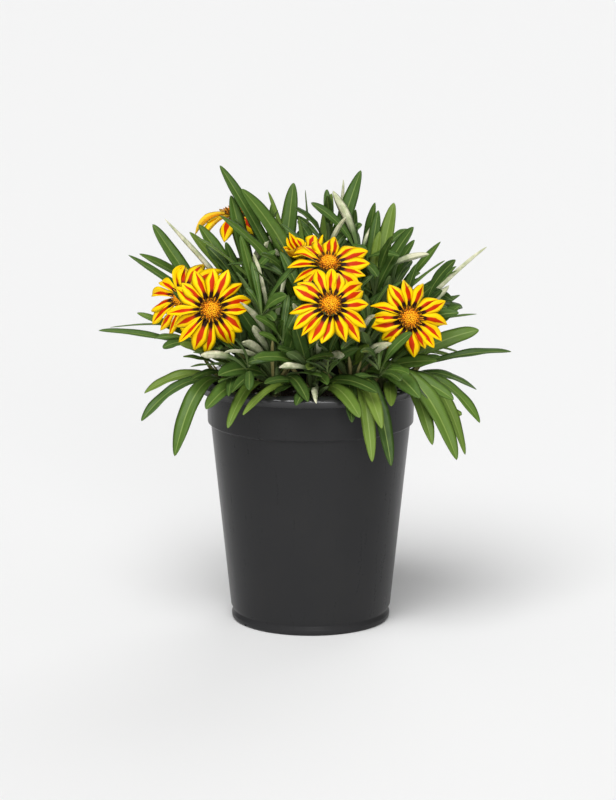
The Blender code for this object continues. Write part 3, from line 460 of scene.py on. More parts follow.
# Shoots: eleven short leafy stems grown from one bed, each in one piece with its strap-shaped leaves
# and flower stalks. Leaves are thin, dark green and smooth above with a pale midrib, and felted
# cream white below; they were placed by the same rule as the solids, bent clear of one another.
# Shoots: where each stem stands, and the height of its growing tip, in millimetres
SHOOTS = (
    (0, 10, 216), (-35, 5, 205), (38, 5, 205), (-26, -30, 201), (29, -32, 201), (-28, 38, 207),
    (30, 38, 207), (2, -43, 198), (0, 54, 203), (54, -14, 199), (-52, -18, 199),
)
STEM_RADIUS = 3.5 * MM
STEM_SIDES = 8
STEM_FOOT_Z = 150.0 * MM
LEAF_ZONE = 23.0 * MM
# Leaves: outline as (share of the length, share of the full width), then the tip; a leaf that
# arches over the rim has one more section, and a narrow or inner one has one less
LEAF_OUTLINE = ((0.0, 0.24), (0.32, 0.42), (0.66, 1.0), (0.92, 0.74))
PLAIN_OUTLINE = ((0.0, 0.26), (0.42, 0.6), (0.84, 1.0))
NARROW_WIDTH = 6.2 * MM
ARCHED_OUTLINE = ((0.0, 0.24), (0.26, 0.36), (0.5, 0.76), (0.73, 1.0), (0.93, 0.7))
LEAF_ROOT_THICKNESS = 2.2 * MM
LEAF_THICKNESS = 1.3 * MM
LEAF_FOLD = 0.16
LEAF_WAVES = 11.0
ARCH_ARM = 0.48
ARCH_ARM_MORE = 0.34
ARCH_DROP = 60.0 * MM
CLEARANCE = 0.8 * MM
POT_CLEARANCE = 1.1 * MM
POT_PROBES = 4
# A leaf that meets something is bent aside, a little more at each try: turn about its root in
# radians, lift of its tip, share of its length given up, change of rise in degrees and of facing.
# The last tries let it pass through a leaf of its own shoot.
TRIES = 130
BEND_TURN = 0.34
BEND_LIFT = 22.0 * MM
BEND_SHORTER = 0.14
BEND_RISE = (-24.0, 16.0)
BEND_FACE = 0.5
APART_SHARE = 0.75
# Leaves that fill the bush: how many, how long and wide in millimetres, and the rounded outline that
# they stay in, as half widths and height in millimetres above its foot
FILL_PER_SHOOT = 6
REAR_FILL = 5
FRONT_FILL = 5
FRONT_LENGTH = (48.0, 80.0)
BUSH = (138.0, 118.0, 128.0)
BUSH_FOOT = 168.0
FILL_LENGTH = (78.0, 134.0)
FILL_WIDTH = (7.5, 11.5)
FRONT_Y = -45.0
FRONT_TOP = 224.0
GOLDEN_ANGLE = math.radians(137.5)
# The leaves that show, by shoot: tip x, y, z in millimetres, full width in millimetres, rise of the
# leaf at its root in degrees, and how far its upper side turns to the front (underside below zero)
LEAVES = (
    ((-68, 10, 345, 8.5, 66, 0.7), (-52, -5, 334, 11.5, 84, 0.7), (38, 30, 339, 10.5, 80, 0.7),
     (-84, -15, 294, 7, 66, 0.3), (-68, -10, 310, 9, 80, 0.5), (-42, -50, 276, 5.5, 74, 0.3),
     (-26, -25, 297, 5.5, 80, 0.3), (-9, 20, 305, 4.5, 84, 0.4), (-32, 20, 324, 4.5, 76, 0.5),
     (-22, -22, 264, 9, 84, 0.5), (26, -16, 254, 9, 84, 0.5)),
    ((-119, 15, 300, 10, 52, 0.7), (-84, 5, 301, 10.5, 72, 0.7), (-106, -25, 296, 5, 62, -0.7),
     (-137, 5, 278, 7, 48, 0.5), (-159, -10, 223, 6.5, 44, 0.4), (-131, 5, 234, 7, 44, 0.5),
     (-66, -12, 264, 9, 78, 0.5)),
    ((63, 25, 315, 10.5, 80, 0.7), (77, 0, 300, 11.5, 88, 0.5), (52, 10, 292, 7.5, 82, 0.6),
     (51, 20, 310, 8.5, 84, 0.7), (101, 5, 274, 5.5, 76, 0.2), (133, 15, 283, 6, 52, -0.7),
     (109, -5, 271, 7.5, 60, 0.5), (98, 10, 254, 6, 58, 0.6), (113, 15, 246, 6.5, 56, 0.5),
     (102, 10, 199, 5.5, 44, 0.3), (62, -18, 254, 9, 78, 0.5)),
    ((-52, -25, 297, 8, 82, 0.6), (-43, -30, 284, 5.5, 84, -0.5), (-17, -20, 287, 7.5, 88, -0.6),
     (-76, -90, 179, 12, 42, 0.4), (-57, -100, 193, 7, 50, 0.3), (-66, -100, 162, 8.5, 46, 0.4),
     (-2, -108, 188, 9, 52, 0.4), (-63, -85, 199, 13, 54, 0.5), (-63, -80, 219, 6.5, 58, -0.7),
     (-54, -75, 251, 6, 74, -0.7), (-46, -70, 243, 7, 70, -0.3), (-36, -65, 245, 7.5, 76, 0.4),
     (-20, -60, 240, 8.5, 76, 0.5), (-50, -64, 224, 9, 64, -0.5)),
    ((93, -55, 208, 10, 44, 0.6), (105, -60, 180, 11.5, 44, 0.6), (79, -95, 188, 14, 54, 0.6),
     (42, -108, 145, 9.5, 50, 0.4), (56, -106, 139, 10.5, 52, 0.3), (51, -112, 169, 10, 52, 0.5),
     (107, -75, 138, 13, 48, 0.6), (64, -80, 230, 8, 66, -0.6), (37, -70, 261, 6, 78, -0.3),
     (46, -88, 248, 6, 70, -0.6), (44, -70, 226, 9, 68, 0.6), (22, -58, 234, 8, 78, -0.4)),
    ((-13, 60, 326, 11.5, 82, 0.7), (-29, 45, 317, 6, 84, 0.5), (-92, 30, 292, 8, 66, 0.6),
     (-130, 25, 276, 8.5, 50, 0.5), (-152, 10, 222, 4, 44, 0.2), (-62, 70, 300, 9, 70, 0.5)),
    ((34, 25, 310, 8, 84, 0.6), (49, 35, 314, 8.5, 80, 0.6), (79, 30, 286, 9, 66, 0.6),
     (99, 35, 284, 7, 58, 0.5), (111, 10, 265, 4.5, 56, 0.3), (111, 30, 243, 8, 52, 0.2),
     (127, 30, 229, 4, 46, 0.2), (111, 20, 197, 5.5, 42, 0.4), (117, 30, 198, 4, 40, 0.2)),
    ((48, -105, 194, 10, 56, 0.5), (34, -110, 174, 11.5, 54, 0.5), (-49, -102, 177, 6, 46, 0.4),
     (-41, -100, 218, 10, 60, 0.5), (-2, -95, 209, 7.5, 66, 0.5), (12, -100, 199, 8.5, 56, 0.6),
     (5, -92, 228, 5.5, 72, -0.6), (4, -104, 186, 6, 54, -0.7), (-13, -80, 255, 6, 78, -0.3),
     (-24, -80, 222, 8, 66, 0.5), (24, -82, 218, 8, 66, -0.5)),
    ((-4, 40, 323, 5, 84, 0.5), (16, 50, 319, 10.5, 82, 0.7), (25, 45, 334, 5, 80, -0.7)),
    ((127, 5, 221, 11.5, 44, 0.7), (151, -5, 206, 7, 40, 0.4), (125, -15, 179, 7, 42, 0.4),
     (126, -35, 155, 9, 40, 0.5), (97, -20, 205, 7.5, 44, 0.4), (62, -86, 178, 9, 48, 0.4),
     (70, -88, 147, 10.5, 46, 0.4), (114, -46, 139, 9, 50, 0.5), (95, 0, 250, 7, 60, -0.6),
     (84, -42, 216, 9, 58, 0.5)),
    ((-124, -30, 179, 9, 42, 0.4), (-125, -55, 163, 9.5, 42, 0.4), (-100, -80, 144, 12, 44, 0.5),
     (-58, -95, 189, 6, 50, 0.4), (-97, -35, 217, 8, 50, 0.5), (-90, -25, 213, 10, 54, 0.4),
     (-52, -60, 232, 9, 72, 0.4), (-80, -50, 214, 9, 56, 0.5)),
)
# The lobed leaf, as (shoot, row in LEAVES), and its side lobes as (place along it, side, length)
LOBED_LEAF = (9, 7)
LOBES = ((0.56, 1, 17.0), (0.6, -1, 13.0), (0.72, 1, 17.0), (0.76, -1, 13.0))
LOBE_WIDTH = 5.0
LOBE_SPREAD = 0.8
LOBE_OUTLINE = ((0.0, 0.4), (0.55, 0.9), (0.82, 0.8))
# Flower heads: centre in millimetres, the way the head faces, radius in millimetres, height of the
# petals at their middle and at their tips, petal width, and the shoot that carries the stalk
HEADS = (
    ((-73, -64, 248), (0.14, -0.96, 0.16), 33.5, 4.5, -2.0, 9.8, 10),
    ((-94, -18, 248), (-0.42, -0.82, 0.38), 33.5, 4.5, -7.0, 9.8, 1),
    ((13, -46, 277), (0.04, -0.66, 0.75), 32.0, 4.0, 2.5, 9.6, 4),
    ((14, -98, 256), (0.02, -0.88, 0.48), 34.0, 4.0, -0.5, 9.8, 7),
    ((72, -60, 241), (0.1, -0.96, 0.22), 31.0, 4.5, 0.0, 9.4, 9),
    ((-57, 52, 301), (-0.06, -0.12, 0.98), 33.0, 4.5, -11.0, 9.8, 5),
    ((-6, -2, 279), (-0.2, -0.3, 0.93), 20.0, 6.0, 19.0, 6.4, 0),
)
PETALS = 16
PETAL_THICKNESS = 1.1 * MM
PETAL_OUTLINE = ((0.3, 0.54), (0.66, 1.0))
PETAL_ROLL = math.radians(14.0)
PLATE_RADIUS = 7.2 * MM
PLATE_THICKNESS = 1.6 * MM
DISC_FOOT_RADIUS = 6.2 * MM
DISC_RADIUS = 8.2 * MM
DISC_HEIGHT = 5.2 * MM
DISC_FLORETS = 12
FULL_HEAD_RADIUS = 30.0
CUP_RADIUS = 5.4 * MM
CUP_LENGTH = 10.0 * MM
STALK_RADIUS = 1.7 * MM
STALK_SIDES = 6
STALK_STEPS = 6


def bezier(points, t):
    """A point on the curve that the control points give."""
    while len(points) > 1:
        points = [a.lerp(b, t) for a, b in zip(points, points[1:])]
    return points[0]


def ahead_on(curve, near, far):
    """The way that a curve runs from one share of its length to another."""
    return (bezier(curve, far) - bezier(curve, near)).normalized()


def square_to(vector, axis):
    """The part of a vector that stands square to an axis, at unit length."""
    flat = vector - axis * vector.dot(axis)
    return flat.normalized() if flat.length > 1e-6 else axis.orthogonal().normalized()


def round_from(ahead, angle):
    """The way that stands square to a tube's run, at an angle round it."""
    side = square_to(Vector((1.0, 0.0, 0.0)), ahead)
    return side * math.cos(angle) + ahead.cross(side) * math.sin(angle)


def heading(angle, climb):
    """The way that points out at an angle round a stem and climbs by another."""
    return Vector((math.cos(angle) * math.cos(climb), math.sin(angle) * math.cos(climb), math.sin(climb)))


def corners(station, swell=0.0):
    """The corners of a lens-shaped section: left edge, ridge, right edge and keel.

    A station is (point, side, normal, width, thickness, raise of the left edge, of the right edge).
    """
    point, side, normal, width, thickness, left, right = station
    half, deep = width / 2.0 + swell, thickness / 2.0 + swell
    return [point - side * half + normal * left, point + normal * deep,
            point + side * half + normal * right, point - normal * deep]


def joined(ring, after):
    """The triangles between two sections, split alike on both faces, so a waved blade stays closed."""
    faces = []
    for edge, ridge in ((0, 1), (2, 1), (2, 3), (0, 3)):
        faces += [(ring[edge], ring[ridge], after[ridge]), (ring[edge], after[ridge], after[edge])]
    return faces


def blade(stations, tip, swell=0.0):
    """A closed blade: sections carried along a spine and drawn to a point at the tip."""
    verts = [corner for station in stations for corner in corners(station, swell)]
    verts.append(tip + (tip - stations[-1][0]).normalized() * swell)
    faces = [(0, 1, 3), (1, 2, 3)]
    for first in range(0, 4 * len(stations) - 4, 4):
        faces += joined(range(first, first + 4), range(first + 4, first + 8))
    end = len(verts) - 1
    return verts, faces + [(end - 4 + k, end - 4 + (k + 1) % 4, end) for k in range(4)]


def leaf_curve(leaf):
    """Control points of a leaf's spine: it leaves the stem at its own rise and bends to its tip."""
    root, tip = leaf["root"], leaf["tip"]
    flat = Vector((tip.x - root.x, tip.y - root.y, 0.0))
    rise = math.radians(leaf["rise"])
    length = (tip - root).length
    drop = max(0.0, min(1.0, (root.z - tip.z) / ARCH_DROP + 1.0 / 3.0))
    arm = length * (ARCH_ARM + ARCH_ARM_MORE * drop)
    middle = root + flat.normalized() * (arm * math.cos(rise)) + UP * (arm * math.sin(rise))
    return [root, middle, tip]


def leaf_outline(leaf):
    if leaf["root"].z + 6.0 * MM > leaf["tip"].z:
        return ARCHED_OUTLINE
    plain = leaf["width"] < NARROW_WIDTH or not leaf["key"]
    return PLAIN_OUTLINE if plain else LEAF_OUTLINE


def leaf_normal(leaf, ahead, share):
    """The way that a leaf's upper side faces: up at its root, and turned to the front further out."""
    natural = square_to(UP, ahead)
    shown = square_to(TO_VIEWER * math.copysign(1.0, leaf["face"]), ahead)
    return square_to(natural.lerp(shown, abs(leaf["face"]) * min(1.0, share * 2.0)), ahead)


def leaf_stations(leaf):
    curve = leaf_curve(leaf)
    width = leaf["width"]
    stations = []
    for share, breadth in leaf_outline(leaf):
        ahead = ahead_on(curve, share, share + 0.01)
        normal = leaf_normal(leaf, ahead, share)
        half = width * breadth / 2.0
        wave = leaf["wave"] * half * math.sin(leaf["phase"] + share * LEAF_WAVES)
        fold = leaf["fold"] * half
        thick = LEAF_ROOT_THICKNESS + (LEAF_THICKNESS - LEAF_ROOT_THICKNESS) * min(1.0, share * 2.0)
        stations.append((bezier(curve, share), ahead.cross(normal), normal, width * breadth, thick,
                         fold + wave, fold - wave))
    return stations


def leaf_mesh(leaf, swell=0.0, start=0):
    return blade(leaf_stations(leaf)[start:], leaf["tip"], swell)


def lobe_blades(leaf):
    """The side lobes of a cut leaf, as (stations, tip)."""
    curve = leaf_curve(leaf)
    lobes = []
    for share, hand, length in leaf["lobes"]:
        point = bezier(curve, share)
        ahead = ahead_on(curve, share, share + 0.01)
        normal = square_to(UP.lerp(TO_VIEWER, 0.5), ahead)
        way = (ahead + ahead.cross(normal) * (hand * LOBE_SPREAD)).normalized()
        tip = point + way * (length * MM)
        edge = way.cross(normal)
        stations = []
        for part, breadth in LOBE_OUTLINE:
            stations.append((point.lerp(tip, part), edge, normal, LOBE_WIDTH * breadth * MM,
                             LEAF_THICKNESS, 0.0, 0.0))
        lobes.append((stations, tip))
    return lobes


def leaf_shapes(leaf):
    """A leaf as closed shapes: its blade, and the side lobes of a cut leaf."""
    return [leaf_mesh(leaf)] + [blade(stations, tip) for stations, tip in lobe_blades(leaf)]


def new_leaf(shoot, key, tip, width, rise, face, rng):
    return {
        "shoot": shoot, "key": key, "tip": Vector(tip) * MM, "width": width * MM, "rise": rise,
        "face": face,
        "fold": LEAF_FOLD * rng.uniform(-0.4, 1.6), "wave": rng.uniform(0.04, 0.2),
        "phase": rng.uniform(0.0, math.tau), "lobes": (),
    }


def meets_pot(point):
    """Whether a point lies in the pot's wall or lip, or in the soil, or too close to them."""
    radius = math.hypot(point.x, point.y)
    if radius < BAND_RADIUS - WALL - POT_CLEARANCE:
        return point.z < SOIL_TOP + SOIL_RELIEF + POT_CLEARANCE
    if radius < RIM_RADIUS + POT_CLEARANCE:
        under_lip = point.z < RIM_TOP - LIP_DROP - LIP_SKIRT - POT_CLEARANCE
        beside_band = under_lip and radius > BAND_RADIUS + 2.0 * POT_CLEARANCE
        return point.z < RIM_TOP + POT_CLEARANCE and not beside_band
    return False


def blade_meets_pot(stations, tip):
    """Whether a blade's spine or edges come too close to the pot or the soil anywhere on their way."""
    rows = []
    for point, side, normal, width, _, left, right in stations:
        half = side * (width / 2.0)
        rows.append((point - half + normal * left, point, point + half + normal * right))
    rows.append((tip, tip, tip))
    for near, far in zip(rows, rows[1:]):
        for probe in range(POT_PROBES + 1):
            if any(meets_pot(a.lerp(b, probe / POT_PROBES)) for a, b in zip(near, far)):
                return True
    return False


def tree_of(verts, faces):
    return BVHTree.FromPolygons(verts, faces, all_triangles=False)


def box_of(verts):
    low = [min(v[axis] for v in verts) for axis in range(3)]
    high = [max(v[axis] for v in verts) for axis in range(3)]
    return low, high


def boxes_meet(a, b):
    return all(a[0][axis] <= b[1][axis] and b[0][axis] <= a[1][axis] for axis in range(3))


def obstacle(verts, faces, shoot):
    return {"tree": tree_of(verts, faces), "box": box_of(verts), "shoot": shoot}


def leaf_is_clear(leaf, obstacles, same_too):
    """Whether a leaf keeps its distance from the pot, the soil and everything already placed."""
    if blade_meets_pot(leaf_stations(leaf)[1:], leaf["tip"]):
        return False
    if any(blade_meets_pot(stations, tip) for stations, tip in lobe_blades(leaf)):
        return False
    verts, faces = leaf_mesh(leaf, CLEARANCE)
    box = box_of(verts)
    tree = tree_of(verts, faces)
    free_verts, free_faces = leaf_mesh(leaf, CLEARANCE / 2.0, 1)
    free_tree = tree_of(free_verts, free_faces)
    for item in obstacles:
        if not boxes_meet(box, item["box"]):
            continue
        if item["shoot"] == leaf["shoot"]:
            if same_too and free_tree.overlap(item["tree"]):
                return False
        elif tree.overlap(item["tree"]):
            return False
    return True


def bend_clear(leaf, obstacles, rng, tries):
    """Bends a leaf a little, then further, until it crosses nothing; gives None if it never does."""
    for attempt in range(tries):
        reach = attempt / tries
        trial = dict(leaf)
        if attempt:
            away = leaf["tip"] - leaf["root"]
            turn = Matrix.Rotation(rng.uniform(-BEND_TURN, BEND_TURN) * reach, 3, "Z")
            lift = UP * (rng.uniform(-BEND_LIFT, BEND_LIFT) * reach)
            shorter = 1.0 - rng.uniform(0.0, BEND_SHORTER) * reach
            trial["tip"] = leaf["root"] + turn @ (away * shorter) + lift
            trial["rise"] = leaf["rise"] + rng.uniform(*BEND_RISE) * reach
            trial["face"] = leaf["face"] + rng.uniform(-BEND_FACE, BEND_FACE) * reach
        if leaf_is_clear(trial, obstacles, attempt < tries * APART_SHARE):
            return trial
    return None


def stem_mesh(x, y, top):
    """A round stem with a blunt tip, its foot standing down in the soil."""
    profile = [
        (STEM_FOOT_Z, STEM_RADIUS), (SOIL_TOP + 4 * MM, STEM_RADIUS), (top * MM - 8 * MM, STEM_RADIUS),
        (top * MM - 1.5 * MM, STEM_RADIUS * 0.75), (top * MM, STEM_RADIUS * 0.3),
    ]
    sides = STEM_SIDES
    verts = []
    for z, radius in profile:
        for index in range(sides):
            angle = math.tau * index / sides
            verts.append(Vector((x * MM + radius * math.cos(angle), y * MM + radius * math.sin(angle), z)))
    return verts, tube_faces(len(profile), sides)


def tube_faces(rings, sides):
    """Faces of a tube whose rings of corners follow one another, with both ends closed."""
    faces = [tuple(reversed(range(sides)))]
    for ring in range(rings - 1):
        a = ring * sides
        for index in range(sides):
            after = (index + 1) % sides
            faces.append((a + index, a + after, a + sides + after))
            faces.append((a + index, a + sides + after, a + sides + index))
    faces.append(tuple(range((rings - 1) * sides, rings * sides)))
    return faces


def head_matrix(head):
    centre, facing = Vector(head[0]) * MM, Vector(head[1]).normalized()
    side = square_to(Vector((1.0, 0.0, 0.0)), facing)
    up = facing.cross(side)
    matrix = Matrix((side, up, facing)).transposed().to_4x4()
    matrix.translation = centre
    return matrix


def stalk_curve(head):
    """The way a head faces, the seat of its stalk, and the curve that the stalk takes to it."""
    matrix = head_matrix(head)
    facing = matrix.to_3x3() @ UP
    x, y, top = SHOOTS[head[6]]
    root = Vector((x, y, top - 6.0)) * MM
    seat = matrix.translation - facing * GAP
    end = seat - facing * CUP_LENGTH
    span = (end - root).length
    return facing, seat, [root, root + UP * (span * 0.42), end - facing * (span * 0.36), end]


def stalk_mesh(head):
    """A flower stalk that curves from its shoot to the head and widens there into the green cup."""
    facing, seat, curve = stalk_curve(head)
    rings = [(bezier(curve, i / STALK_STEPS), STALK_RADIUS) for i in range(STALK_STEPS + 1)]
    rings += [(seat - facing * (CUP_LENGTH * 0.72), CUP_RADIUS * 0.8),
              (seat - facing * 1.8 * MM, CUP_RADIUS), (seat, CUP_RADIUS * 1.04)]
    verts = []
    for number, (point, radius) in enumerate(rings):
        ahead = facing
        if number <= STALK_STEPS:
            step = number / STALK_STEPS
            ahead = ahead_on(curve, max(step - 0.01, 0.0), min(step + 0.01, 1.0))
        for index in range(STALK_SIDES):
            offset = round_from(ahead, math.tau * index / STALK_SIDES)
            drop = 1.5 * MM if number == len(rings) - 1 and index % 2 else 0.0
            verts.append(point + offset * radius - facing * drop)
    faces = tube_faces(len(rings), STALK_SIDES)[:-1]
    verts.append(seat - facing * 0.6 * MM)
    first = (len(rings) - 1) * STALK_SIDES
    for index in range(STALK_SIDES):
        faces.append((first + index, first + (index + 1) % STALK_SIDES, len(verts) - 1))
    return verts, faces


def petal_curve(head, number, rng):
    """A ray petal's spine in the head's own frame, how far its sides roll, and its angle."""
    radius = head[2] * rng.uniform(0.93, 1.04)
    angle = math.tau * (number + rng.uniform(-0.1, 0.1)) / PETALS
    out = polar(1.0, angle)
    root = out * PLATE_RADIUS + UP * (PLATE_THICKNESS / 2.0)
    bend = out * (radius * MM * 0.58) + UP * ((head[3] + rng.uniform(-0.3, 0.3)) * MM)
    tip = out * (radius * MM) + UP * ((head[4] + rng.uniform(-1.4, 1.4)) * MM)
    return [root, bend, tip], PETAL_ROLL + rng.uniform(-0.05, 0.08), angle


def petal_stations(head, number, rng):
    """One ray petal, past its foot: broad middle, pointed tip, slight roll."""
    curve, roll, _ = petal_curve(head, number, rng)
    stations = []
    for share, breadth in PETAL_OUTLINE:
        ahead = ahead_on(curve, share, share + 0.01)
        normal = Matrix.Rotation(roll, 3, ahead) @ square_to(UP, ahead)
        width = head[5] * breadth * MM
        fold = -0.08 * width
        stations.append((bezier(curve, share), ahead.cross(normal), normal, width, PETAL_THICKNESS,
                         fold, fold))
    return stations, curve[-1]


def petals_shape(index):
    """A head's ray petals and the thin plate that they spread from, as one closed shape in place."""
    head = HEADS[index]
    rng = random.Random(700 + index)
    verts = [Vector((0.0, 0.0, PLATE_THICKNESS)), Vector((0.0, 0.0, 0.0))]
    faces = []
    for number in range(PETALS):
        for turn, height in ((-0.5, 0.5), (0.0, 1.0), (0.0, 0.0)):
            spot = polar(PLATE_RADIUS, math.tau * (number + turn) / PETALS)
            verts.append(spot + UP * (PLATE_THICKNESS * height))
    for number in range(PETALS):
        right, ridge, keel = (2 + 3 * number + k for k in range(3))
        left = 2 + 3 * ((number + 1) % PETALS)
        faces += [(0, right, ridge), (0, ridge, left), (1, keel, right), (1, left, keel)]
        ring = [left, ridge, right, keel]
        stations, tip = petal_stations(head, number, rng)
        for station in stations:
            after = range(len(verts), len(verts) + 4)
            verts += corners(station)
            faces += joined(ring, after)
            ring = after
        verts.append(tip)
        faces += [(ring[k], ring[(k + 1) % 4], len(verts) - 1) for k in range(4)]
    matrix = head_matrix(head)
    return [matrix @ v for v in verts], faces


def disc_shape(index):
    """The domed disc of a head, its florets raised as staggered knobs."""
    matrix = head_matrix(HEADS[index])
    foot = PLATE_THICKNESS + GAP
    share_of_full = min(1.0, HEADS[index][2] / FULL_HEAD_RADIUS)
    rings = (
        (DISC_FOOT_RADIUS, 0.0, 0.0), (DISC_RADIUS, 0.3, 0.5), (DISC_RADIUS * 0.86, 0.66, 0.55),
        (DISC_RADIUS * 0.6, 0.88, 0.5), (DISC_RADIUS * 0.3, 0.98, 0.4),
    )
    verts = []
    for number, (radius, share, bump) in enumerate(rings):
        for step in range(DISC_FLORETS):
            angle = math.tau * (step + 0.5 * (number % 2)) / DISC_FLORETS
            high = bump * MM if step % 2 else 0.0
            reach = (radius + high) * share_of_full
            z = foot + DISC_HEIGHT * share * share_of_full + high
            verts.append(matrix @ polar(reach, angle, z))
    faces = tube_faces(len(rings), DISC_FLORETS)[:-1]
    verts.append(matrix @ Vector((0.0, 0.0, foot + DISC_HEIGHT * share_of_full)))
    first = (len(rings) - 1) * DISC_FLORETS
    for step in range(DISC_FLORETS):
        faces.append((first + step, first + (step + 1) % DISC_FLORETS, len(verts) - 1))
    return verts, faces


def root_heights(leaves, crown_z):
    """Leaves leave the stem in the order of their slope: the steepest at the tip, the flattest low."""
    order = sorted(leaves, key=lambda leaf: leaf["slope"])
    for rank, leaf in enumerate(order):
        share = rank / max(1, len(order) - 1)
        leaf["root"].z = crown_z - 2.5 * MM - LEAF_ZONE * (1.0 - share)


def inside_bush(tip):
    """Whether a point in millimetres lies within the rounded outline of the foliage."""
    share = (tip.x / BUSH[0]) ** 2 + (tip.y / BUSH[1]) ** 2 + (max(0.0, tip.z - BUSH_FOOT) / BUSH[2]) ** 2
    return share < 1.0 and (tip.y > FRONT_Y or tip.z < FRONT_TOP)


def fill_leaves(shoot, rng):
    """Leaves all round a shoot, steep inside and flatter outside, then low ones over the rim."""
    x, y, top = SHOOTS[shoot]
    low = REAR_FILL if y > 30 else FRONT_FILL if y < -10 else 0
    leaves = []
    for number in range(FILL_PER_SHOOT + low):
        angle = shoot * 1.3 + number * GOLDEN_ANGLE
        climb = math.radians(22.0 + 50.0 * (number + 0.5) / FILL_PER_SHOOT)
        length = rng.uniform(*FILL_LENGTH)
        if number >= FILL_PER_SHOOT:
            spread = math.radians(rng.uniform(35.0, 145.0))
            angle = math.copysign(spread, y)
            climb = math.radians(rng.uniform(-22.0, 20.0))
            length = length if y > 0 else rng.uniform(*FRONT_LENGTH)
        way = heading(angle, climb)
        crown = Vector((x, y, top))
        while length > FRONT_LENGTH[0] and not inside_bush(crown + way * length):
            length -= 6.0
        rise = max(42.0, math.degrees(climb) + 14.0)
        width = rng.uniform(*FILL_WIDTH) * min(1.0, length / 90.0)
        leaf = new_leaf(shoot, False, crown + way * length, width, rise, rng.uniform(-0.3, 0.5), rng)
        if inside_bush(crown + way * length):
            leaves.append(leaf)
    return leaves


def plan_leaves():
    """Every leaf of every shoot, bent clear of the heads, the stems and each other."""
    obstacles = []
    for index, head in enumerate(HEADS):
        for verts, faces in (petals_shape(index), disc_shape(index)):
            obstacles.append(obstacle(verts, faces, None))
        obstacles.append(obstacle(*stalk_mesh(head), head[6]))
    for shoot, (x, y, top) in enumerate(SHOOTS):
        obstacles.append(obstacle(*stem_mesh(x, y, top), shoot))
    wanted = []
    for shoot, (x, y, top) in enumerate(SHOOTS):
        rng = random.Random(40 + shoot)
        crown = Vector((x, y, top)) * MM
        leaves = []
        for row, (tx, ty, tz, width, rise, face) in enumerate(LEAVES[shoot]):
            leaf = new_leaf(shoot, True, (tx, ty, tz), width, rise, face, rng)
            if (shoot, row) == LOBED_LEAF:
                leaf["lobes"] = LOBES
            leaves.append(leaf)
        leaves += fill_leaves(shoot, rng)
        for leaf in leaves:
            away = leaf["tip"] - crown
            leaf["slope"] = math.atan2(away.z, math.hypot(away.x, away.y))
            leaf["root"] = crown.copy()
        root_heights(leaves, crown.z)
        wanted += leaves
    placed = []
    for number, leaf in enumerate(sorted(wanted, key=lambda leaf: not leaf["key"])):
        rng = random.Random(9000 + number)
        found = bend_clear(leaf, obstacles, rng, TRIES if leaf["key"] else TRIES // 2)
        if found:
            placed.append(found)
            for verts, faces in leaf_shapes(found):
                obstacles.append(obstacle(verts, faces, found["shoot"]))
    return placed


# Fine leaves: the grid that each skin is made of, its thickness, and the shape of its outline
WELD = 1e-6
LEAF_ROWS = 26
LEAF_COLUMNS = 12
BLADE_THICKNESS = 0.55 * MM
LOBE_ROWS = 12
LOBE_COLUMNS = 8
STALK_ROWS = 22
BRANCH_ROWS = 12
BRACTS = 20
BRACT_ROWS = 7
BRACT_THICKNESS = 0.5 * MM
RIB_THICKNESS = 0.7 * MM
RIB_GROOVE = 0.22 * MM
RIB_SHARE = 0.16
LEAF_WIDEST = 0.73
LEAF_FULLNESS = 1.1
LEAF_SWAY = 2.2 * MM
LEAF_TIP_ROWS = 1.5
# Leaves inside each shoot and withered straws at its foot: how many, length and width in millimetres,
# climb in degrees, and how far below the growing tip they start
INNER_LEAVES = 17
INNER_LENGTH = (40.0, 92.0)
INNER_WIDTH = (5.5, 10.0)
INNER_CLIMB = (34.0, 82.0)
INNER_DEPTH = (4.0, 22.0)
INNER_FACE = (0.35, 0.95)
STRAW_LEAVES = 6
STRAW_LENGTH = (20.0, 48.0)
STRAW_WIDTH = (2.4, 4.6)
STRAW_CLIMB = (5.0, 55.0)
STRAW_DEPTH = (14.0, 28.0)
INNER_TRIES = 16
# Side branches that end in a tuft of young leaves: shoot, and place of the tuft in millimetres
TUFTS = (
    (3, (-36, -46, 240)), (3, (-20, -54, 222)), (3, (-46, -60, 205)), (4, (20, -52, 230)),
    (4, (42, -50, 224)), (4, (50, -66, 204)), (7, (-8, -62, 210)), (7, (12, -70, 206)),
    (0, (-14, -12, 258)), (0, (8, 2, 266)), (8, (14, 28, 282)), (2, (36, 12, 272)),
    (2, (48, -6, 250)), (1, (-50, -8, 248)), (9, (70, -24, 226)), (9, (84, -14, 232)),
    (10, (-72, -34, 214)), (6, (44, 24, 262)), (5, (-36, 24, 270)), (6, (62, 16, 246)),
)
TUFT_LEAVES = 10
TUFT_LENGTH = (26.0, 58.0)
TUFT_WIDTH = (4.2, 8.0)
TUFT_CLIMB = (-12.0, 70.0)
BRANCH_RADIUS = 1.1 * MM
# Leaves other than the listed ones take darker tones, painted shade for the inside of the bush; a leaf that
# shows its felt is a deeper gutter, narrower and twisted
INNER_PAINTED_SHADE_TONES = 0.42
LEAF_CHANNEL = 0.2
FELT_SHARE = 0.04
FELT_BREADTH = 0.95
FELT_CHANNEL = 0.45
FELT_TWIST = 1.2
# Tones that mark a withered leaf and a leaf that shows its white felt; the green ones lie below
STRAW_TONE = 0.9
FELT_TONE = 1.0
GREEN_TONES = 0.8
# Leaves that stand before the rear heads: shoot, tip in millimetres, width, rise and facing
SCREEN_LEAVES = (
    (3, (-16, -29, 297), 7.5, 84, 0.6), (3, (-25, -27, 288), 7.0, 86, 0.5),
    (0, (-3, -27, 301), 6.0, 87, 0.6), (0, (-30, -8, 304), 8.0, 82, 0.6),
    (1, (-60, 14, 322), 11.0, 80, 0.6), (1, (-71, 8, 306), 10.0, 74, 0.6),
    (1, (-50, 18, 312), 9.0, 82, 0.5), (2, (22, -4, 306), 8.0, 86, 0.6),
    (7, (-8, -52, 262), 6.5, 84, 0.6),
)


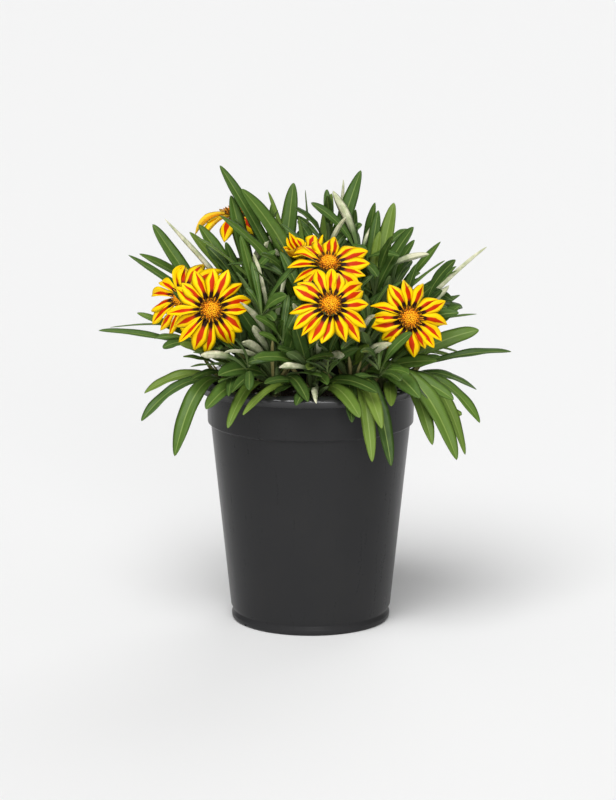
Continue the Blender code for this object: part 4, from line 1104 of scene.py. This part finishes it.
def new_skin():
    """An empty bmesh that carries a map along and round each skin, and a tone for each leaf."""
    bm = bmesh.new()
    bm.loops.layers.uv.new("skin")
    bm.verts.layers.float.new("tone")
    return bm


def sleeve(bm, along, around, place, tone, material_index=0):
    """Closes a grid into a skin: rows run along the piece and columns run once round its section."""
    grid = bmesh.ops.create_grid(bm, x_segments=along, y_segments=around, size=0.5, calc_uvs=True)
    layer = bm.verts.layers.float["tone"]
    faces = {face for vert in grid["verts"] for face in vert.link_faces}
    for face in faces:
        face.material_index = material_index
        face.smooth = True
    for vert in grid["verts"]:
        vert.co = place(round((vert.co.x + 0.5) * along), vert.co.y + 0.5)
        vert[layer] = tone
    bmesh.ops.remove_doubles(bm, verts=grid["verts"], dist=WELD)


def skin_to_mesh(bm, name):
    """Makes the mesh, with no leaf edge past the box that the solids fill."""
    for vert in bm.verts:
        for axis in range(3):
            vert.co[axis] = min(max(vert.co[axis], cad_low[axis]), cad_high[axis])
    bmesh.ops.recalc_face_normals(bm, faces=bm.faces)
    return mesh_from(bm, name)


def section(turn):
    """Where a column lies in a blade's section: -1 to 1 across it, and 1 above or -1 below."""
    across = 4.0 * turn - 1.0 if turn <= 0.5 else 3.0 - 4.0 * turn
    return math.copysign(abs(across) ** 1.4, across), (1.0 if turn <= 0.5 else -1.0)


def breadth_at(outline, share):
    """Share of the full width: eased from station to station, then round to the tip."""
    last, broad = outline[-1]
    if share >= last:
        return broad * math.sqrt(max(0.0, 1.0 - ((share - last) / (1.0 - last)) ** 2))
    for (near, a), (far, b) in zip(outline, outline[1:]):
        if share <= far:
            t = (share - near) / (far - near)
            return a + (b - a) * (0.5 * t + 0.5 * t * t * (3.0 - 2.0 * t))
    return broad


def lens(thickness, across):
    """Half the thickness of a blade at a place across it: full in the middle, thin at the edges."""
    return thickness / 2.0 * math.sqrt(max(0.0, 1.0 - across ** 4))


def leaf_breadth(share):
    """Share of a leaf's full width: a long narrow foot, widest past the middle, then a rounded end."""
    foot = LEAF_OUTLINE[0][1]
    if share < LEAF_WIDEST:
        rise = share / LEAF_WIDEST
        return foot + (1.0 - foot) * (0.35 * rise + 0.65 * rise * rise * (3.0 - 2.0 * rise))
    past = (share - LEAF_WIDEST) / (1.0 - LEAF_WIDEST)
    return max(0.0, 1.0 - past ** 2.6) ** 0.62


def shows_felt(leaf):
    return leaf.get("felt", False) or (leaf["key"] and leaf["face"] < 0.0)


def leaf_rows(leaf):
    """Spine point, side, normal, half width and edge raises of a leaf at each of its rows."""
    curve = leaf_curve(leaf)
    sway = LEAF_SWAY * (leaf["tip"] - leaf["root"]).length / 0.1
    fullness = FELT_BREADTH if shows_felt(leaf) else LEAF_FULLNESS
    groove = FELT_CHANNEL if shows_felt(leaf) else LEAF_CHANNEL
    rows = []
    for row in range(LEAF_ROWS + 1):
        share = 1.0 - (1.0 - row / LEAF_ROWS) ** LEAF_TIP_ROWS
        point = bezier(curve, share)
        behind = max(0.0, share - 0.005)
        ahead = ahead_on(curve, behind, behind + 0.01)
        normal = leaf_normal(leaf, ahead, share)
        if shows_felt(leaf):
            twist = FELT_TWIST * math.sin(7.0 * leaf["phase"]) * share ** 1.5
            normal = Matrix.Rotation(twist, 3, ahead) @ normal
        side = ahead.cross(normal)
        half = fullness * leaf["width"] * leaf_breadth(share) / 2.0 if row else 0.0
        wave = leaf["wave"] * half * math.sin(leaf["phase"] + share * LEAF_WAVES)
        wave += 0.11 * half * share * math.sin(3.0 * leaf["phase"] + share * 27.0)
        middle = sway * math.sin(math.pi * share)
        point = point + side * (middle * math.sin(5.0 * leaf["phase"]))
        point = point + normal * (0.6 * middle * math.cos(3.0 * leaf["phase"]))
        channel = (leaf["fold"] + groove * min(1.0, 2.0 * share)) * half
        rows.append((point, side, normal, half, channel, wave, share))
    return rows


def add_leaf(bm, leaf, tone):
    rows = leaf_rows(leaf)

    def place(row, turn):
        point, side, normal, half, fold, wave, share = rows[row]
        across, face = section(turn)
        rib = math.exp(-((across / RIB_SHARE) ** 2)) * (1.0 - 0.75 * share)
        body = lens(BLADE_THICKNESS, across)
        depth = body - RIB_GROOVE * rib if face > 0 else -body - RIB_THICKNESS * rib
        if half == 0.0:
            return point.copy()
        raised = fold * abs(across) ** 1.2 - wave * across
        return point + side * (half * across) + normal * (raised + depth * min(1.0, half / (1.2 * MM)))

    sleeve(bm, LEAF_ROWS, LEAF_COLUMNS, place, tone)


def add_lobes(bm, leaf, tone):
    """The side lobes of the cut leaf, round ended and as thin as its blade."""
    for stations, tip in lobe_blades(leaf):
        foot, edge, normal = stations[0][0], stations[0][1], stations[0][2]

        def place(row, turn, foot=foot, edge=edge, normal=normal, tip=tip):
            share = row / LOBE_ROWS
            across, face = section(turn)
            half = LOBE_WIDTH * MM / 2.0 * breadth_at(LOBE_OUTLINE, share) if row else 0.0
            body = lens(BLADE_THICKNESS, across)
            return foot.lerp(tip, share) + edge * (half * across) + normal * (face * body * (half > 0.0))

        sleeve(bm, LOBE_ROWS, LOBE_COLUMNS, place, tone)


def add_stem(bm, x, y, top):
    """The short stem, with five shallow lengthwise ridges, narrowing to a blunt tip."""
    profile = ((STEM_FOOT_Z, 0.0), (STEM_FOOT_Z, 1.0), (SOIL_TOP + 4 * MM, 1.0), (top * MM - 12 * MM, 0.98),
               (top * MM - 8 * MM, 0.94), (top * MM - 3 * MM, 0.8), (top * MM, 0.4), (top * MM, 0.0))

    def place(row, turn):
        z, share = profile[row]
        angle = math.tau * turn
        radius = STEM_RADIUS * share * (1.0 + 0.06 * math.cos(5.0 * angle))
        return Vector((x * MM + radius * math.cos(angle), y * MM + radius * math.sin(angle), z))

    sleeve(bm, len(profile) - 1, 20, place, 0.5, 1)


def add_stalk(bm, head):
    """A flower stalk with faint lengthwise ribs, widening at the head into the cup."""
    facing, seat, curve = stalk_curve(head)
    rings = [(curve[0], 0.0, 0.0)]
    for number in range(STALK_ROWS + 1):
        rings.append((bezier(curve, number / STALK_ROWS), STALK_RADIUS, number / STALK_ROWS))
    for back, radius in ((0.86, 0.42), (0.72, 0.8), (0.45, 1.0), (0.18, 1.02), (0.04, 0.96)):
        rings.append((seat - facing * (CUP_LENGTH * back), CUP_RADIUS * radius, None))
    rings.append((seat - facing * 0.6 * MM, 0.0, None))

    def place(row, turn):
        point, radius, step = rings[row]
        ahead = facing
        if step is not None:
            ahead = ahead_on(curve, max(step - 0.01, 0.0), min(step + 0.01, 1.0))
        angle = math.tau * turn
        return point + round_from(ahead, angle) * (radius * (1.0 + 0.05 * math.cos(9.0 * angle)))

    sleeve(bm, len(rings) - 1, 18, place, 0.5, 1)
    add_bracts(bm, head)


def add_branch(bm, shoot, spot):
    """A thin side branch that rises from its shoot to a tuft."""
    x, y, top = SHOOTS[shoot]
    root, end = Vector((x, y, top - 6.0)) * MM, Vector(spot) * MM
    curve = [root, root + UP * ((end - root).length * 0.6), end]

    def place(row, turn):
        share = min(max(row - 1, 0), BRANCH_ROWS) / BRANCH_ROWS
        radius = 0.0 if row in (0, BRANCH_ROWS + 2) else BRANCH_RADIUS * (1.3 - 0.3 * share)
        behind = min(share, 0.98)
        ahead = ahead_on(curve, behind, behind + 0.02)
        return bezier(curve, share) + round_from(ahead, math.tau * turn) * radius

    sleeve(bm, BRANCH_ROWS + 2, 8, place, 0.5, 1)


def add_bracts(bm, head):
    """Two rows of pointed green bracts that stand round the cup, behind the petals."""
    matrix = head_matrix(head)
    scale = min(1.0, head[2] / FULL_HEAD_RADIUS)
    for number in range(BRACTS):
        angle = math.tau * number / BRACTS
        out = polar(1.0, angle)
        along = Vector((-math.sin(angle), math.cos(angle), 0.0))
        length = (6.4 if number % 2 else 4.6) * MM * scale

        def place(row, turn, out=out, along=along, length=length):
            share = row / BRACT_ROWS
            across, face = section(turn)
            half = 0.95 * MM * (1.0 - share) ** 0.8 if row else 0.0
            reach = CUP_RADIUS * 1.02 + length * share * share * 0.42
            rise = -CUP_LENGTH * 0.4 + length * share - 0.7 * MM * share
            body = lens(BRACT_THICKNESS, across) * (half > 0.0)
            outward = out * (reach + face * body)
            return matrix @ (outward + along * (half * across) + UP * min(rise, -0.6 * MM))

        sleeve(bm, BRACT_ROWS, 8, place, 0.35, 1)


def wanted_inner_leaves():
    """The leaves that close the heart: those before the rear heads, short green ones, and straws."""
    wanted = []
    for shoot, tip, width, rise, face in SCREEN_LEAVES:
        rng = random.Random(400 + len(wanted))
        leaf = new_leaf(shoot, False, tip, width, rise, face, rng)
        leaf["root"] = (Vector(SHOOTS[shoot]) - UP * 8.0) * MM
        wanted.append((leaf, rng))
    for shoot, spot in enumerate(SHOOTS):
        rng = random.Random(300 + shoot)
        crown = Vector(spot)
        for number in range(INNER_LEAVES + STRAW_LEAVES):
            straw = number >= INNER_LEAVES
            angle = shoot * 0.7 + number * GOLDEN_ANGLE
            climb = math.radians(rng.uniform(*(STRAW_CLIMB if straw else INNER_CLIMB)))
            tip = crown + heading(angle, climb) * rng.uniform(*(STRAW_LENGTH if straw else INNER_LENGTH))
            width = rng.uniform(*(STRAW_WIDTH if straw else INNER_WIDTH))
            face = rng.uniform(*INNER_FACE)
            leaf = new_leaf(shoot, False, tip, width, math.degrees(climb) + 8.0, face, rng)
            leaf["root"] = (crown - UP * rng.uniform(*(STRAW_DEPTH if straw else INNER_DEPTH))) * MM
            leaf["straw"] = straw
            wanted.append((leaf, rng))
    for index, (shoot, spot) in enumerate(TUFTS):
        rng = random.Random(500 + index)
        heart = Vector(spot)
        for number in range(TUFT_LEAVES):
            angle = index + number * GOLDEN_ANGLE
            climb = math.radians(rng.uniform(*TUFT_CLIMB))
            tip = heart + heading(angle, climb) * rng.uniform(*TUFT_LENGTH)
            leaf = new_leaf(shoot, False, tip, rng.uniform(*TUFT_WIDTH), math.degrees(climb) + 26.0,
                            rng.uniform(0.2, 0.9), rng)
            if rng.random() < FELT_SHARE:
                leaf["face"], leaf["felt"] = -0.6, True
            leaf["root"] = (heart - UP * rng.uniform(0.0, 6.0)) * MM
            wanted.append((leaf, rng))
    return wanted


def inner_leaves(plan):
    """Leaves added between those already placed, each bent clear of the heads and of the others."""
    obstacles = []
    for index, head in enumerate(HEADS):
        for shape in (petals_shape(index), disc_shape(index), stalk_mesh(head)):
            obstacles.append(obstacle(*shape, None))
    for leaf in plan:
        obstacles.append(obstacle(*leaf_mesh(leaf), None))
    placed = []
    for leaf, rng in wanted_inner_leaves():
        for attempt in range(INNER_TRIES):
            reach = attempt / INNER_TRIES
            trial = dict(leaf)
            turn = Matrix.Rotation(rng.uniform(-0.5, 0.5) * reach, 3, "Z")
            trial["tip"] = leaf["root"] + turn @ ((leaf["tip"] - leaf["root"]) * (1.0 - 0.35 * reach))
            if blade_meets_pot(leaf_stations(trial)[1:], trial["tip"]):
                continue
            verts, faces = leaf_mesh(trial, 0.0, 1)
            free, box = tree_of(verts, faces), box_of(verts)
            if not any(boxes_meet(box, item["box"]) and free.overlap(item["tree"]) for item in obstacles):
                placed.append(trial)
                obstacles.append(obstacle(*leaf_mesh(trial), None))
                break
    return placed


def skin_map(tree):
    """Places on a skin: along it, round its section, across from its midrib, and 1 on the underside."""
    skin = add_node(tree, "SeparateXYZ", {"Vector": add_node(tree, "UVMap", uv_map="skin").outputs[0]})
    along, around = skin.outputs["X"], skin.outputs["Y"]
    folded = calculate(tree, "ABSOLUTE", calculate(tree, "SUBTRACT", times(tree, around, 4.0), 2.0))
    across = calculate(tree, "ABSOLUTE", calculate(tree, "SUBTRACT", folded, 1.0))
    return along, around, across, calculate(tree, "GREATER_THAN", around, 0.5)


def leaf_material():
    """Green and slightly shiny above with a pale midrib and faint side veins, cream felt below."""
    material, tree, shader, patches = start_material("leaf", 190.0, 6.0, 0.6, 0.0008)
    along, around, across, under = skin_map(tree)
    tone = add_node(tree, "Attribute", attribute_name="tone").outputs["Fac"]
    felted = calculate(tree, "GREATER_THAN", tone, (STRAW_TONE + FELT_TONE) / 2.0)
    not_green = calculate(tree, "GREATER_THAN", tone, (GREEN_TONES + STRAW_TONE) / 2.0)
    withered = calculate(tree, "SUBTRACT", not_green, felted)
    green = ramp(tree, tone, ((0.0, (0.012, 0.040, 0.004)), (0.24, (0.036, 0.092, 0.008)),
                              (0.5, (0.084, 0.162, 0.016)), (0.8, (0.185, 0.270, 0.034)),
                              (1.0, (0.070, 0.140, 0.020))))
    blue = calculate(tree, "FRACT", times(tree, tone, 17.0))
    hue = mix_colours(tree, times(tree, blue, 0.3), green, (0.042, 0.106, 0.030, 1.0))
    lighter = mix_colours(tree, times(tree, patches, 0.42), hue, (0.125, 0.200, 0.034, 1.0))
    veins_place = add_node(tree, "CombineXYZ", {"X": calculate(tree, "ADD", times(tree, along, 34.0),
                           times(tree, across, -3.4)), "Y": across})
    veins = add_node(tree, "TexWave", {"Vector": veins_place.outputs[0], "Scale": 0.5, "Distortion": 1.5})
    veined = mix_colours(tree, times(tree, calculate(tree, "POWER", veins.outputs[1], 6.0), 0.16),
                         lighter, (0.16, 0.25, 0.09, 1.0))
    rib = mask(tree, across, ((0.0, 1.0), (0.16, 0.0)))
    top = mix_colours(tree, times(tree, rib, 0.72), veined, (0.28, 0.37, 0.095, 1.0))
    worn = ramp(tree, patches, ((0.36, (0.78, 0.76, 0.54)), (0.62, (0.30, 0.36, 0.15))))
    cream = mix_colours(tree, 0.35, worn, (0.82, 0.80, 0.60, 1.0))
    grey = mix_colours(tree, patches, (0.135, 0.20, 0.065, 1.0), (0.075, 0.13, 0.035, 1.0))
    outer = mask(tree, along, ((0.34, 0.0), (0.56, 1.0)))
    felt = mix_colours(tree, times(tree, felted, outer), grey, cream)
    below = mix_colours(tree, times(tree, rib, 0.75), felt, (0.30, 0.40, 0.17, 1.0))
    live = mix_colours(tree, under, top, below)
    blade_colour = mix_colours(tree, times(tree, withered, 0.85), live, (0.40, 0.34, 0.14, 1.0))
    pale_foot = mask(tree, along, ((0.02, 1.0), (0.3, 0.0)))
    link(tree, mix_colours(tree, times(tree, pale_foot, 0.4), blade_colour,
                           (0.21, 0.26, 0.09, 1.0)), shader, "Base Color")
    link(tree, calculate(tree, "MULTIPLY_ADD", under, 0.38, 0.44), shader, "Roughness")
    shader.inputs["Specular IOR Level"].default_value = 0.22
    return material


def stalk_material():
    """Pale green stalks, stems and bracts, browner at the soil."""
    material, tree, shader, patches = start_material("stalk", 240.0, 4.0, 0.4, 0.0004)
    place = add_node(tree, "TexCoord").outputs["Object"]
    height = add_node(tree, "SeparateXYZ", {"Vector": place}).outputs["Z"]
    near_soil = add_node(tree, "MapRange", {"Value": height, 1: 0.168, 2: 0.196}).outputs[0]
    green = mix_colours(tree, patches, (0.09, 0.16, 0.035, 1.0), (0.17, 0.24, 0.07, 1.0))
    link(tree, mix_colours(tree, near_soil, (0.13, 0.085, 0.045, 1.0), green), shader, "Base Color")
    shader.inputs["Roughness"].default_value = 0.6
    shader.inputs["Sheen Weight"].default_value = 0.15
    return material


leaf_green, stalk_green = leaf_material(), stalk_material()
leaf_plan = plan_leaves()
all_leaves = leaf_plan + inner_leaves(leaf_plan)
for shoot, (stem_x, stem_y, stem_top) in enumerate(SHOOTS):
    skin = new_skin()
    tones = random.Random(60 + shoot)
    for leaf in all_leaves:
        if leaf["shoot"] == shoot:
            # Leaves other than the listed ones get a darker green: painted shade inside the bush
            leaf_tone = GREEN_TONES * tones.random() * (1.0 if leaf["key"] else INNER_PAINTED_SHADE_TONES)
            if shows_felt(leaf):
                leaf_tone = FELT_TONE
            elif leaf.get("straw"):
                leaf_tone = STRAW_TONE
            add_leaf(skin, leaf, leaf_tone)
            add_lobes(skin, leaf, leaf_tone)
    add_stem(skin, stem_x, stem_y, stem_top)
    for head in HEADS:
        if head[6] == shoot:
            add_stalk(skin, head)
    for branch_shoot, tuft_place in TUFTS:
        if branch_shoot == shoot:
            add_branch(skin, shoot, tuft_place)
    finish_piece("leafy_shoot_%02d" % (shoot + 1), skin_to_mesh(skin, "leafy_shoot"),
                 [leaf_green, stalk_green], "shoot_%02d" % (shoot + 1))

# Ray petals: one whorl of sixteen on each head, held under the disc. Each is a thin yellow strap with
# shallow lengthwise ridges, a red-orange stripe down the middle and a near-black foot.
PETAL_ROWS = 18
PETAL_COLUMNS = 12
FINE_PETAL_THICKNESS = 0.4 * MM
PETAL_RIDGE = 0.22 * MM
PETAL_FINE_OUTLINE = ((0.0, 0.36), (0.3, 0.68), (0.6, 1.0))
# What each petal draws for itself: fold, twist in radians, sideways sweep and curl of the tip in
# millimetres, share of the head's petal width and share of the full length
PETAL_FOLD = (-0.5, 0.4)
PETAL_TWIST = (-1.0, 1.0)
PETAL_SWEEP = (-6.5, 6.5)
PETAL_CURL = (-4.0, 3.0)
PETAL_BREADTH = (0.92, 1.26)
PETAL_LENGTH = (0.82, 1.0)
HALF_OPEN_LENGTH = (0.6, 0.94)
HALF_OPEN_BREADTH = 1.3
DROOP = 3.5
# A creased petal is folded along its middle, so it looks narrower
CREASED_SHARE = 0.2
CREASED_FOLD = 0.95
CREASED_BREADTH = 0.78
# The head at the back is seen edge on: its petals are broader, and curl and twist less
REAR_HEAD = 5
REAR_BREADTH = 1.25
REAR_CURL = 0.2
REAR_TWIST = 0.4


def petal_breadth(share):
    last, broad = PETAL_FINE_OUTLINE[-1]
    if share > last:
        return broad * (1.0 - ((share - last) / (1.0 - last)) ** 2.0)
    return breadth_at(PETAL_FINE_OUTLINE, share)


def add_petals(bm, index):
    head = HEADS[index]
    rng = random.Random(700 + index)
    looks = random.Random(800 + index)
    matrix = head_matrix(head)
    droop_way = looks.uniform(0.0, math.tau)
    for number in range(PETALS):
        curve, roll, angle = petal_curve(head, number, rng)
        fold = looks.uniform(*PETAL_FOLD)
        twist = looks.uniform(*PETAL_TWIST)
        sweep = looks.uniform(*PETAL_SWEEP) * MM
        curl = (looks.uniform(*PETAL_CURL) - DROOP * (1.0 + math.cos(angle - droop_way))) * MM
        width = head[5] * looks.uniform(*PETAL_BREADTH) * MM
        if looks.random() < CREASED_SHARE:
            fold, width = CREASED_FOLD, width * CREASED_BREADTH
        shorter = looks.uniform(*PETAL_LENGTH)
        if head[2] < FULL_HEAD_RADIUS:
            width *= HALF_OPEN_BREADTH
            shorter = looks.uniform(*HALF_OPEN_LENGTH)
        if index == REAR_HEAD:
            width, curl, twist = width * REAR_BREADTH, curl * REAR_CURL, twist * REAR_TWIST
        rows = []
        for row in range(PETAL_ROWS + 1):
            share = row / PETAL_ROWS
            place_along = share * shorter
            behind = max(0.0, place_along - 0.005)
            ahead = ahead_on(curve, behind, behind + 0.01)
            flat_side = ahead.cross(square_to(UP, ahead))
            normal = Matrix.Rotation(roll + twist * share * share, 3, ahead) @ square_to(UP, ahead)
            half = width * petal_breadth(share) / 2.0 if row else 0.0
            bent = bezier(curve, place_along) + flat_side * (sweep * share ** 2) + UP * (curl * share ** 3)
            rows.append((bent, ahead.cross(normal), normal, half, share))

        def place(row, turn, rows=rows, fold=fold):
            point, side, normal, half, share = rows[row]
            across, face = section(turn)
            ridges = PETAL_RIDGE * math.cos(3.0 * math.pi * across) * min(1.0, half / (1.5 * MM))
            lift = fold * half * across * across + ridges + face * lens(FINE_PETAL_THICKNESS, across)
            return matrix @ (point + side * (half * across) + normal * (lift if half else 0.0))

        sleeve(bm, PETAL_ROWS, PETAL_COLUMNS, place, looks.random())
    seat = bmesh.ops.create_cone(bm, cap_ends=True, segments=32, radius1=PLATE_RADIUS * 0.98,
                                 radius2=PLATE_RADIUS * 0.98, depth=PLATE_THICKNESS * 0.9,
                                 matrix=matrix @ Matrix.Translation((0, 0, PLATE_THICKNESS / 2.0)))
    for face in {f for vert in seat["verts"] for f in vert.link_faces}:
        face.material_index = 1


def petal_material():
    """Yellow with a pointed red-orange stripe, fine lengthwise lines and a near-black foot."""
    material, tree, shader, patches = start_material("ray petal", 300.0, 4.0, 0.2, 0.0002)
    along, around, across, under = skin_map(tree)
    tone = add_node(tree, "Attribute", attribute_name="tone").outputs["Fac"]
    lines_place = add_node(tree, "CombineXYZ", {"X": times(tree, around, 70.0),
                                                "Y": times(tree, along, 2.5), "Z": tone})
    lines_noise = add_node(tree, "TexNoise", {"Vector": lines_place.outputs[0], "Scale": 1.0, "Detail": 3.0})
    lines = lines_noise.outputs[0]
    yellow = mix_colours(tree, lines, (0.95, 0.50, 0.0, 1.0), (1.0, 0.78, 0.002, 1.0))
    reach = mask(tree, along, ((0.08, 0.88), (0.28, 0.52), (0.58, 0.50), (0.82, 0.29), (0.97, 0.0)))
    uneven = times(tree, calculate(tree, "SUBTRACT", lines, 0.5), 0.32)
    inside = calculate(tree, "SUBTRACT", calculate(tree, "ADD", reach, uneven), across)
    stripe = calculate(tree, "MULTIPLY", inside, 11.0, clamp=True)
    red = mix_colours(tree, lines, (0.40, 0.008, 0.0, 1.0), (0.70, 0.050, 0.0, 1.0))
    striped = mix_colours(tree, stripe, yellow, red)
    foot_edge = calculate(tree, "ADD", along, times(tree, uneven, 0.5))
    foot = mask(tree, foot_edge, ((0.23, 1.0), (0.38, 0.0)))
    dark = times(tree, foot, calculate(tree, "MULTIPLY", inside, 8.0, clamp=True))
    face_colour = mix_colours(tree, dark, striped, (0.018, 0.006, 0.004, 1.0))
    back = mix_colours(tree, times(tree, stripe, 0.3), (0.95, 0.60, 0.03, 1.0), (0.45, 0.12, 0.02, 1.0))
    link(tree, mix_colours(tree, under, face_colour, back), shader, "Base Color")
    link(tree, calculate(tree, "MULTIPLY_ADD", patches, 0.2, 0.42), shader, "Roughness")
    shader.inputs["Specular IOR Level"].default_value = 0.1
    return material


petal_yellow = petal_material()
for index in range(len(HEADS)):
    skin = new_skin()
    add_petals(skin, index)
    finish_piece("ray_petals_%02d" % (index + 1), skin_to_mesh(skin, "ray_petals"),
                 [petal_yellow, stalk_green], "petals_%02d" % (index + 1))

# Disc: a low dome of orange tube florets packed in spirals, each flaring at its mouth, with a ring of
# dark brown filaments that lean out over the petals' feet.
DISC_TUBES = 130
FILAMENTS = 78
TUBE_RADIUS = 0.44 * MM
TUBE_LENGTH = 2.8 * MM
TUBE_LENGTHS = (0.8, 1.25)
TUBE_TILT = 0.15
TUBE_FLARE = 1.5
FILAMENT_LENGTH = 5.0 * MM
DOME_SHARE = 0.86
DISC_HEART = 0.48


def disc_point(share, scale):
    """A point of the dome and the way it faces, at a share of the way from centre to edge."""
    foot = PLATE_THICKNESS + GAP
    height = foot + DISC_HEIGHT * scale * (1.0 - share ** 2.4 * 0.86)
    return DISC_RADIUS * 0.88 * scale * share, height, 1.15 * share ** 1.5


def add_tube(bm, matrix, angle, reach, height, lean, radius, length, tone, flare):
    """One floret: a five-sided tube that leans outwards and ends in a flared mouth."""
    spot = Matrix.Rotation(angle, 4, "Z") @ Matrix.Translation((reach, 0.0, height))
    spot = spot @ Matrix.Rotation(lean, 4, "Y")
    made = bmesh.ops.create_cone(bm, cap_ends=True, segments=5, radius1=radius, radius2=radius * flare,
                                 depth=length, matrix=matrix @ spot)
    layer = bm.verts.layers.float["tone"]
    for vert in made["verts"]:
        vert[layer] = tone


def add_disc(bm, index):
    matrix = head_matrix(HEADS[index])
    scale = min(1.0, HEADS[index][2] / FULL_HEAD_RADIUS)
    rng = random.Random(900 + index)
    foot = PLATE_THICKNESS + GAP
    profile = [(0.0, foot), (DISC_FOOT_RADIUS * scale, foot)]
    for step in range(9):
        reach, height, _ = disc_point(1.0 - step / 8.0, scale)
        profile.append((reach * DOME_SHARE, foot + (height - foot) * DOME_SHARE))

    def place(row, turn):
        reach, height = profile[row]
        return matrix @ polar(reach, math.tau * turn, height)

    sleeve(bm, len(profile) - 1, 32, place, 0.78)
    for number in range(DISC_TUBES):
        share = math.sqrt((number + 0.5) / DISC_TUBES)
        reach, height, lean = disc_point(share, scale)
        length = TUBE_LENGTH * scale * rng.uniform(*TUBE_LENGTHS)
        lean += rng.uniform(-TUBE_TILT, TUBE_TILT)
        tone = max(0.0, share - DISC_HEART) * 1.7 + rng.uniform(-0.1, 0.4)
        add_tube(bm, matrix, number * GOLDEN_ANGLE, reach, height, lean, TUBE_RADIUS * scale, length, tone,
                 TUBE_FLARE)
    for number in range(FILAMENTS):
        angle = math.tau * (number + rng.uniform(-0.3, 0.3)) / FILAMENTS
        add_tube(bm, matrix, angle, DISC_RADIUS * rng.uniform(0.66, 1.02) * scale, foot + 3.8 * MM * scale,
                 rng.uniform(0.3, 1.2), 0.27 * MM, FILAMENT_LENGTH * scale * rng.uniform(0.6, 1.1),
                 0.3 if number % 4 == 0 else 0.97, 1.2 if number % 4 == 0 else 0.6)


def disc_material():
    material, tree, shader, patches = start_material("disc floret", 1500.0, 3.0, 0.4, 0.0001)
    tone = add_node(tree, "Attribute", attribute_name="tone").outputs["Fac"]
    base = ramp(tree, tone, ((0.0, (1.0, 0.50, 0.006)), (0.35, (0.95, 0.33, 0.003)),
                             (0.62, (0.60, 0.12, 0.003)), (0.84, (0.13, 0.030, 0.004)),
                             (1.0, (0.016, 0.006, 0.004))))
    link(tree, mix_colours(tree, times(tree, patches, 0.3), base, (0.9, 0.46, 0.02, 1.0)),
         shader, "Base Color")
    shader.inputs["Roughness"].default_value = 0.7
    shader.inputs["Specular IOR Level"].default_value = 0.2
    return material


disc_orange = disc_material()
for index in range(len(HEADS)):
    skin = new_skin()
    add_disc(skin, index)
    finish_piece("disc_florets_%02d" % (index + 1), skin_to_mesh(skin, "disc_florets"),
                 [disc_orange], "disc_%02d" % (index + 1))
